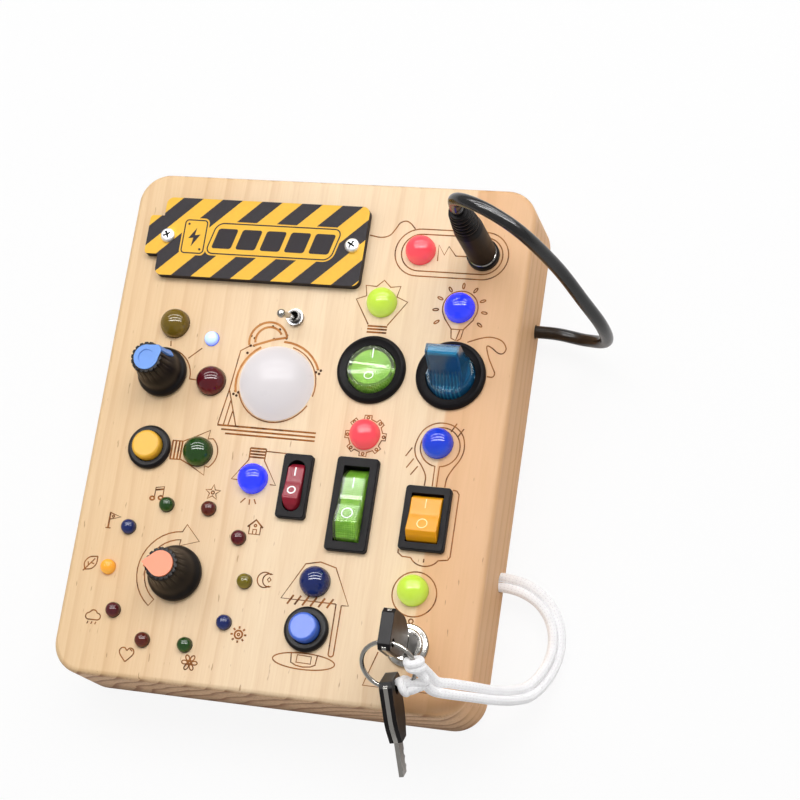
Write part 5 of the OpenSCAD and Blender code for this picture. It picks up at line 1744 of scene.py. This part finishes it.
@dataclass
class Lamps:
    """Large lamps, the ring of small lamps, the spark lamp and the milky dome.

    Each kind of lamp has a radius, and heights of its flange and of its tip.
    """

    large: Point = (5.0, 23.0, 35.6)
    small: Point = (2.5, 24.5, 33.1)
    spark: Point = (2.5, 23.6, 32.6)
    ring_at: Point = (-31.9, -51.7)
    ring_r: float = 23.8
    dome_at: Point = (-8.6, 15.1)
    light_from: Point = (0.05, 0.72, 0.69)

    def lens(self, name: str, spots: Sequence[Point], r: float, foot: float, tip: float,
             finish: Finish, slot: str, replaces: Sequence[str] = ()) -> None:
        """Makes one colour's lenses as a piece.

        Args:
            name: The piece's name.
            spots: Where they stand.
            r: Their radius.
            foot: Height of their flange, under the face.
            tip: Height of their tips.
            finish: Their finish.
            slot: Not used.
            replaces: CAD nodes that the piece stands for.
        """
        made = []
        for i, spot in enumerate(spots):
            cap = [(r * math.cos(a), tip - r + r * math.sin(a))
                   for a in (math.radians(6 * k) for k in range(15))]
            profile = [(0, foot), (r + 0.4, foot), (r + 0.4, foot + 1), (r, foot + 1.02),
                       *cap, (0, tip)]
            one = lathe(f"{name}_{i}", profile, (*spot, 0), 48 if r > 3 else 32)
            depth = one.data.attributes.new("depth", "FLOAT", "POINT")
            # painted light: the side away from the light, about mid height, gets the
            # daylight painted as collecting inside the lens
            painted_light_side = one.data.attributes.new("painted_light_side", "FLOAT", "POINT")
            centre = Vector((*spot, tip - r)) * MM
            away = -Vector(self.light_from)
            away.z = -away.z * 0.2
            for k, v in enumerate(one.data.vertices):
                way = (v.co - centre) / (r * MM)
                depth.data[k].value = max(0.0, min(1.0, 1 - way.z))
                side = way.x * away.x + way.y * away.y
                level = math.exp(-((way.z - 0.42) / 0.34) ** 2)
                painted_light_side.data[k].value = max(0.0, side) * level
            made.append(one)
        piece = made[0] if len(made) == 1 else joined(name, made)
        piece.name = name
        fit(dress(piece, finish), "board", replaces)

    def build(self) -> None:
        """Makes every lamp."""
        for name, spots, finish, slot, *stands in (
                ("red_lamps_lit", [(33.2, 64.5), (24.1, 0.3)], LIT_RED, "lamp_red",
                 "red_lamps"),
                ("red_lamp_dark", [(-31.5, 14.2)], DARK_RED, "lamp_dark_red"),
                ("green_lamps_lit", [(22.8, 45.5), (47.6, -48.9)], LIT_GREEN, "lamp_green",
                 "green_lamps"),
                ("green_lamp_dark", [(-31.7, -10.3)], DARK_GREEN, "lamp_dark_green"),
                ("blue_lamps_lit", [(49.2, 45.4), (-11.2, -17.7)], LIT_BLUE, "lamp_blue",
                 "blue_lamps"),
                ("blue_lamp_soft", [(48.6, -0.6)], SOFT_BLUE, "lamp_blue"),
                ("blue_lamp_dark", [(15.4, -49.4)], DARK_BLUE, "lamp_dark_blue"),
                ("olive_lamp_lens", [(-47.9, 33.3)], OLIVE, "lamp_olive", "olive_lamp")):
            self.lens(name, spots, *self.large, finish, slot, stands)
        for name, members, finish, slot, *stands in (
                ("ring_olive", (0,), RING_OLIVE, "lamp_dark_green"),
                ("ring_dark_red", (1,), DARK_RED, "lamp_dark_red", "ring_lamps_red"),
                ("ring_brown_red", (2, 7), BROWN_RED, "lamp_dark_red"),
                ("ring_green", (3, 8), DARK_GREEN, "lamp_dark_green", "ring_lamps_green"),
                ("ring_blue", (4, 9), DARK_BLUE, "lamp_dark_blue", "ring_lamps_blue"),
                ("ring_amber", (5,), LIT_AMBER, "lamp_amber", "ring_lamp_amber"),
                ("ring_maroon", (6,), MAROON, "lamp_dark_red")):
            spots = [(self.ring_at[0] + self.ring_r * math.cos(a),
                      self.ring_at[1] + self.ring_r * math.sin(a))
                     for a in (math.radians(36 * i) for i in members)]
            self.lens(name, spots, *self.small, finish, slot, stands)
        self.lens("spark_lamps", [(-34, 29), self.dome_at], *self.spark, SPARK,
                  "lamp_white", ["small_lamps"])
        self.dome()

    def dome(self) -> None:
        """Makes the hollow milky dome."""
        r, wall, centre = 12.6, 1.3, 29.4
        outer = [(r * math.cos(a), centre + r * math.sin(a))
                 for a in (math.radians(4.5 * k) for k in range(20))]
        inner = [((r - wall) * math.cos(a), centre + (r - wall) * math.sin(a))
                 for a in (math.radians(4.5 * k) for k in range(19, -1, -1))]
        made = lathe("dome_light", [(0, centre + r - wall), *inner, (r - wall, 26), (r, 26),
                                    *outer, (0, centre + r)], (*self.dome_at, 0), 96)
        fit(dress(made, MILKY), "board", ["dome"])


# --- rockers


@dataclass(frozen=True)
class SeeSaw:
    """Shape of one rectangular rocker about its pivot, in millimetres."""

    kind: str
    at: Point
    half: float
    width: float
    edge: Point
    drum: bool = False
    crease: float = 1.6
    tilt: float = 11.0

    def slope(self) -> float:
        """Returns the slope of each half, in radians."""
        return math.atan2(self.edge[1] - self.crease, self.edge[0])

    def outline(self) -> list[Vector]:
        """Returns the profile across the pivot, from the low front round to the low back."""
        r, (ey, ez) = self.half, self.edge
        low = -math.asin(4 / r)
        end = [(r * math.cos(a), r * math.sin(a))
               for a in (low + (0.06 - low) * k / 6 for k in range(7))]
        end += [((r + ey) / 2 + 0.25, (0.5 + ez) / 2 + 0.15), (ey, ez)]
        lift = math.tan(self.slope())
        dip = [(1.5, self.crease + 1.5 * lift), (0, self.crease + 0.5 * lift),
               (-1.5, self.crease + 1.5 * lift)]
        return fillet([*end, *dip, *[(-y, z) for y, z in reversed(end)]], 0.5, 4)

    def mesh(self, name: str, shrink: float = 0.0) -> Thing:
        """Makes the rocker as it rests, its edges rounded.

        Args:
            name: The object's name.
            shrink: How far every face is drawn in.

        Returns:
            The object.
        """
        outline, half, soft = self.outline(), self.width / 2 - shrink, 0.4
        n = len(outline)
        ways = [Vector((outline[(i + 1) % n] - outline[i - 1])).normalized()
                for i in range(n)]
        ends = [(half - soft + soft * math.sin(a), soft * (1 - math.cos(a)))
                for a in (math.radians(15 * k) for k in range(7))]
        inner = [half - soft - 0.3 * k for k in range(1, int((half - soft) / 0.3))] \
            if self.drum else []
        right = [(x, 0.0) for x in reversed(inner)] + ends
        stations = [(-x, cut) for x, cut in reversed(right)] + right
        verts, faces = [], []
        for x, cut in stations:
            limit = self.half
            if self.drum:
                w = self.width / 2
                limit += math.sqrt(max(0.0, w * w - x * x)) - w
            for p, way in zip(outline, ways):
                q = p + Vector((-way.y, way.x)) * (cut + shrink)
                reach = limit - cut - shrink
                if q.length > reach:
                    q = q * (reach / q.length)
                verts.append((x, q.x, q.y))
        for i in range(len(stations) - 1):
            for k in range(n):
                m = (k + 1) % n
                faces.append((i * n + k, i * n + m, (i + 1) * n + m, (i + 1) * n + k))
        faces += [tuple(range(n))[::-1],
                  tuple(range((len(stations) - 1) * n, len(stations) * n))]
        made = from_mesh_data(name, verts, faces)
        outward(made)
        place(made, self.base())
        soft_shade(made, 34, even=True)
        return made

    def base(self) -> Matrix:
        """Returns the place of the pivot with the rocker's lean."""
        return Matrix.Translation((self.at[0], self.at[1], FACE)) @ Matrix.Rotation(
            math.radians(-self.tilt), 4, "X")

    def spot(self, y: float) -> Matrix:
        """Returns the place of a mark on a slope, y from the crease."""
        sign = 1 if y > 0 else -1
        lift = self.crease + abs(y) * math.tan(self.slope()) + 0.02
        return self.base() @ Matrix.Translation((0, y, lift)) @ Matrix.Rotation(
            sign * self.slope(), 4, "X")


@dataclass
class Rockers:
    """The five rocker switches."""

    strokes: Tree
    slim: SeeSaw = SeeSaw("slim", (3.7, -19.2), 8.3, 5.6, (5.4, 3.9), drum=True,
                          crease=3.2)
    wide: SeeSaw = SeeSaw("wide", (48.4, -25.8), 7.75, 10.1, (5.6, 4.1), crease=3.42)
    long: SeeSaw = SeeSaw("long", (23.8, -23.4), 12.25, 8.1, (7.8, 4.8), crease=3.86)
    round: SeeSaw = SeeSaw("round", (22.9, 22.2), 8.05, 16.0, (8.0, 3.155))

    def build(self) -> None:
        """Makes the housings, the rockers and their marks."""
        for shape, finish, slot, ink, bar, ring, spots in (
                (self.slim, RED_GLOSS, "red_rocker", MARK_WHITE, 2.9, 1.25, (3.9, -2.6)),
                (self.wide, AMBER_GLOSS, "amber_rocker", MARK_PALE, 3.0, 1.6, (3.85, -3.0)),
                (self.long, LONG_CLEAR, "green_clear", MARK_WHITE, 3.4, 1.75,
                 (6.0, -4.7))):
            kind = shape.kind
            skin(f"{kind}_bezel", f"{kind}_housing", BLACK, "board", "black_plastic",
                 bevel=0.3, segments=3)
            rocker = shape.mesh(f"{kind}_rocker_cap")
            fit(dress(rocker, finish), f"{kind}_switch", [f"{kind}_rocker"])
            self.marks(shape, f"{kind}_switch", ink, bar, ring, spots,
                       Weight.FIRM if shape is self.slim else Weight.THIN)
        core = self.long.mesh("long_inner", 0.75)
        fit(dress(core, GREEN_CORE), "long_switch")
        for name, node in (("round_bezel", "green_housing"),
                           ("duckbill_bezel", "blue_housing")):
            skin(name, node, BLACK, "board", "black_plastic", bevel=0.25, segments=3,
                 angle=40)
        skin("round_green_rocker", "green_rocker", GREEN_CLEAR, "green_switch",
             "green_clear", bevel=0.22)
        self.core("round_inner", (22.9, 22.2), "green_rocker", 0.84, 0.84, "green_switch",
                  GREEN_CORE)
        self.marks(self.round, "green_switch", MARK_WHITE, 3.2, 1.45, (5.0, -3.0),
                   Weight.THIN)
        skin("duckbill_rocker", "blue_rocker", BLUE_CLEAR, "duckbill_switch", "blue_clear",
             bevel=0.3)
        self.core("duckbill_inner", (49.6, 22.2), "blue_rocker", 0.86, 0.965,
                  "duckbill_switch", BLUE_CORE)
        dress_node("switch_terminals", TIN)

    def marks(self, shape: SeeSaw, body: str, ink: Finish, bar: float, ring: float,
              spots: Point, weight: Weight = Weight.FIRM) -> None:
        """Paints the I and the O on a rocker's two slopes.

        Args:
            shape: The rocker.
            body: Body of the rocker.
            ink: Finish of the marks.
            bar: Length of the I.
            ring: Radius of the O.
            spots: Where the I and the O stand, from the crease.
            weight: Weight of their lines.
        """
        lines = Stroke([(0, -bar / 2), (0, bar / 2)], weight), circle(0, 0, ring, weight)
        pieces = [drawn(f"{shape.kind}_mark", [line], ink, self.strokes, shape.spot(y),
                        width=0.34, depth=0.10, wobble=0.05)
                  for y, line in zip(spots, lines)]
        fit(dress(joined(f"{shape.kind}_marks", pieces), ink), body)

    def core(self, name: str, at: Point, node: str, across: float, down: float, body: str,
             finish: Finish) -> None:
        """Makes the moulded body that shows inside a clear rocker.

        Args:
            name: The piece's name.
            at: The rocker's middle.
            node: The CAD rocker that it fills.
            across: Share of the rocker's size across.
            down: Share of its height.
            body: Body of the rocker.
            finish: Its finish.
        """
        made = softened(name, node, bevel=0)
        middle = Vector((at[0], at[1], FACE)) * MM
        for v in made.data.vertices:
            way = v.co - middle
            v.co = middle + Vector((way.x * across, way.y * across, way.z * down
                                    - 0.0002))
        fit(dress(made, finish), body)


# --- controls


@dataclass
class Controls:
    """Toggle, the two rotary dials and the two push buttons."""

    toggle_at: Point = (-5.9, 38.2)
    mode_at: Point = (-49.0, 15.8)
    selector_at: Point = (-31.9, -51.7)
    knob_z: float = 30.5
    nut_room: Point = (6.87, 3.5)
    cap_seat: Point = (4.3, 0.8)
    flutes: int = 18
    flute_depth: float = 0.5

    def build(self) -> None:
        """Makes every control that isn't a rocker."""
        self.toggle()
        self.dials()
        self.buttons()
        for node, finish in (("mode_switch", CASE_GREY), ("selector_switch", CASE_GREY),
                             ("mode_shaft", STEEL), ("selector_shaft", STEEL),
                             ("control_board", SOLDER_MASK)):
            dress_node(node, finish)
        skin("panel_hex_nuts", "panel_nuts", STEEL, "board", "nickel", bevel=0.15)

    def toggle(self) -> None:
        """Makes the toggle's bush and its bat lever."""
        bush = softened("toggle_bush", "toggle_body", bevel=0.12)
        dress(bush, DARK_STEEL)
        # painted shade inside the bush's bore
        darken_recess(bush, [(*self.toggle_at, FACE + 3)], 1.75, -12, -0.05)
        fit(bush, "board", ["toggle_body"])
        skin("toggle_bat", "toggle_lever", NICKEL, "toggle", "nickel", bevel=0)

    def dials(self) -> None:
        """Makes the knobs and their coloured caps."""
        for kind, cap, slot, shape in (
                ("mode", BLUE_CAP, "blue_cap", (self.mode_at, 8.5, 5.4, 17.0, 40)),
                ("selector", ORANGE_CAP, "orange_cap",
                 (self.selector_at, 9.15, 5.6, 14.5, 180))):
            knob = self.knob(f"{kind}_fluted_knob", *shape)
            fit(dress(knob, KNOB_BLACK), f"{kind}_dial", [f"{kind}_knob"])
            skin(f"{kind}_coloured_cap", f"{kind}_cap", cap, f"{kind}_dial", slot, angle=40)

    def knob(self, name: str, at: Point, base: float, neck: float, top: float,
             turn: float) -> Thing:
        """Turns one flared knob whose flutes run out down its skirt.

        Args:
            name: The object's name.
            at: Where it stands.
            base: Radius of its skirt.
            neck: Radius at its top.
            top: Height of its rim over its foot.
            turn: Direction of its pointer, degrees; it stands between two flutes.

        Returns:
            The object.
        """
        def fluted(r: float, z: float, a: float) -> float:
            """Returns the radius at a point of the surface."""
            if r < neck - 0.45:
                return r
            fade = max(0.0, min(1.0, (z / top - 0.5) / 0.45))
            wave = -math.cos(self.flutes * (a - math.radians(turn)))
            return r - self.flute_depth * fade * max(0.0, wave) ** 1.4

        room, seat = self.nut_room, self.cap_seat
        flare = smooth_path([(base - 0.3, 2.1, 0), (base - 1.3, 3.6, 0),
                             (neck + 1.5, top * 0.42, 0), (neck + 0.5, top * 0.66, 0),
                             (neck, top - 0.4, 0)], 6)
        return lathe(name, [(0, room[1]), (room[0], room[1]), (room[0], 0), (base - 0.2, 0),
                            (base, 0.3), (base, 1.6), *[(p.x, p.y) for p in flare],
                            (neck - 0.12, top - 0.1), (neck - 0.4, top), (seat[0], top),
                            (seat[0], top - seat[1]), (0, top - seat[1])],
                     (*at, self.knob_z), 216, fluted)

    def buttons(self) -> None:
        """Makes the push buttons."""
        for kind, cap, slot in (("yellow", YELLOW_CAP, "yellow_cap"),
                                ("blue", BLUE_PRESS, "blue_cap")):
            skin(f"{kind}_button_bezel", f"{kind}_button_body", KNOB_BLACK, "board",
                 "black_plastic", bevel=0.3, angle=40, segments=3)
            skin(f"{kind}_button_plunger", f"{kind}_button_cap", cap, f"{kind}_button", slot,
                 bevel=0.25, angle=40, segments=3)


# --- jack, lock, keys


@dataclass
class JackAndLock:
    """The power jack, the key lock, the keys and the split ring."""

    ring_c: Point = (48.4, -76.01, 48.49)
    ring_r: float = 8.5
    wire_r: float = 0.7

    def build(self) -> None:
        """Makes the jack, the lock, the keys and the ring."""
        skin("jack_bush", "jack_body", PLUG_BLACK, "board", "black_plastic", bevel=0.25,
             angle=40)
        skin("jack_trim_ring", "jack_ring", NICKEL, "board", "nickel", bevel=0.08, angle=40)
        skin("lock_bush", "lock_body", NICKEL, "board", "nickel", bevel=0.12, angle=30)
        skin("lock_plug", "lock_core", DARK_STEEL, "key", "screw_steel", bevel=0.15,
             angle=40)
        for name, node, body, finish, slot in (
                ("key_steel", "key_blade", "key", NICKEL, "nickel"),
                ("key_cheeks", "key_bow", "key", KNOB_BLACK, "black_plastic"),
                ("spare_key_steel", "spare_key", "spare", NICKEL, "nickel"),
                ("spare_key_cheeks", "spare_key_bow", "spare", KNOB_BLACK,
                 "black_plastic")):
            skin(name, node, finish, body, slot, bevel=0.22, angle=30, segments=3)
        self.ring()

    def ring(self) -> None:
        """Makes the wire key ring."""
        profile = [(self.ring_r + self.wire_r * math.cos(a), self.wire_r * math.sin(a))
                   for a in (math.tau * k / 16 for k in range(16))]
        made = lathe("split_ring", profile, sides=96, closed=True)
        place(made, Matrix.Translation(self.ring_c)
              @ Matrix.Rotation(math.radians(45), 4, "X"))
        fit(dress(made, NICKEL), "key", ["key_ring"])


# --- run


def main() -> None:
    """Builds the studio and every sub-assembly."""
    logging.basicConfig(level=logging.INFO, format="%(name)s: %(message)s")
    strokes, repeats = stroke_tree(), repeat_tree()
    Studio().build()
    for assembly in (PowerLead(), KeyCord(), PineBoard(strokes, repeats),
                     BatteryBay(strokes, repeats), Lamps(), Rockers(strokes), Controls(),
                     JackAndLock()):
        LOG.info("building %s", type(assembly).__name__)
        assembly.build()


if __name__ == "__main__":
    main()
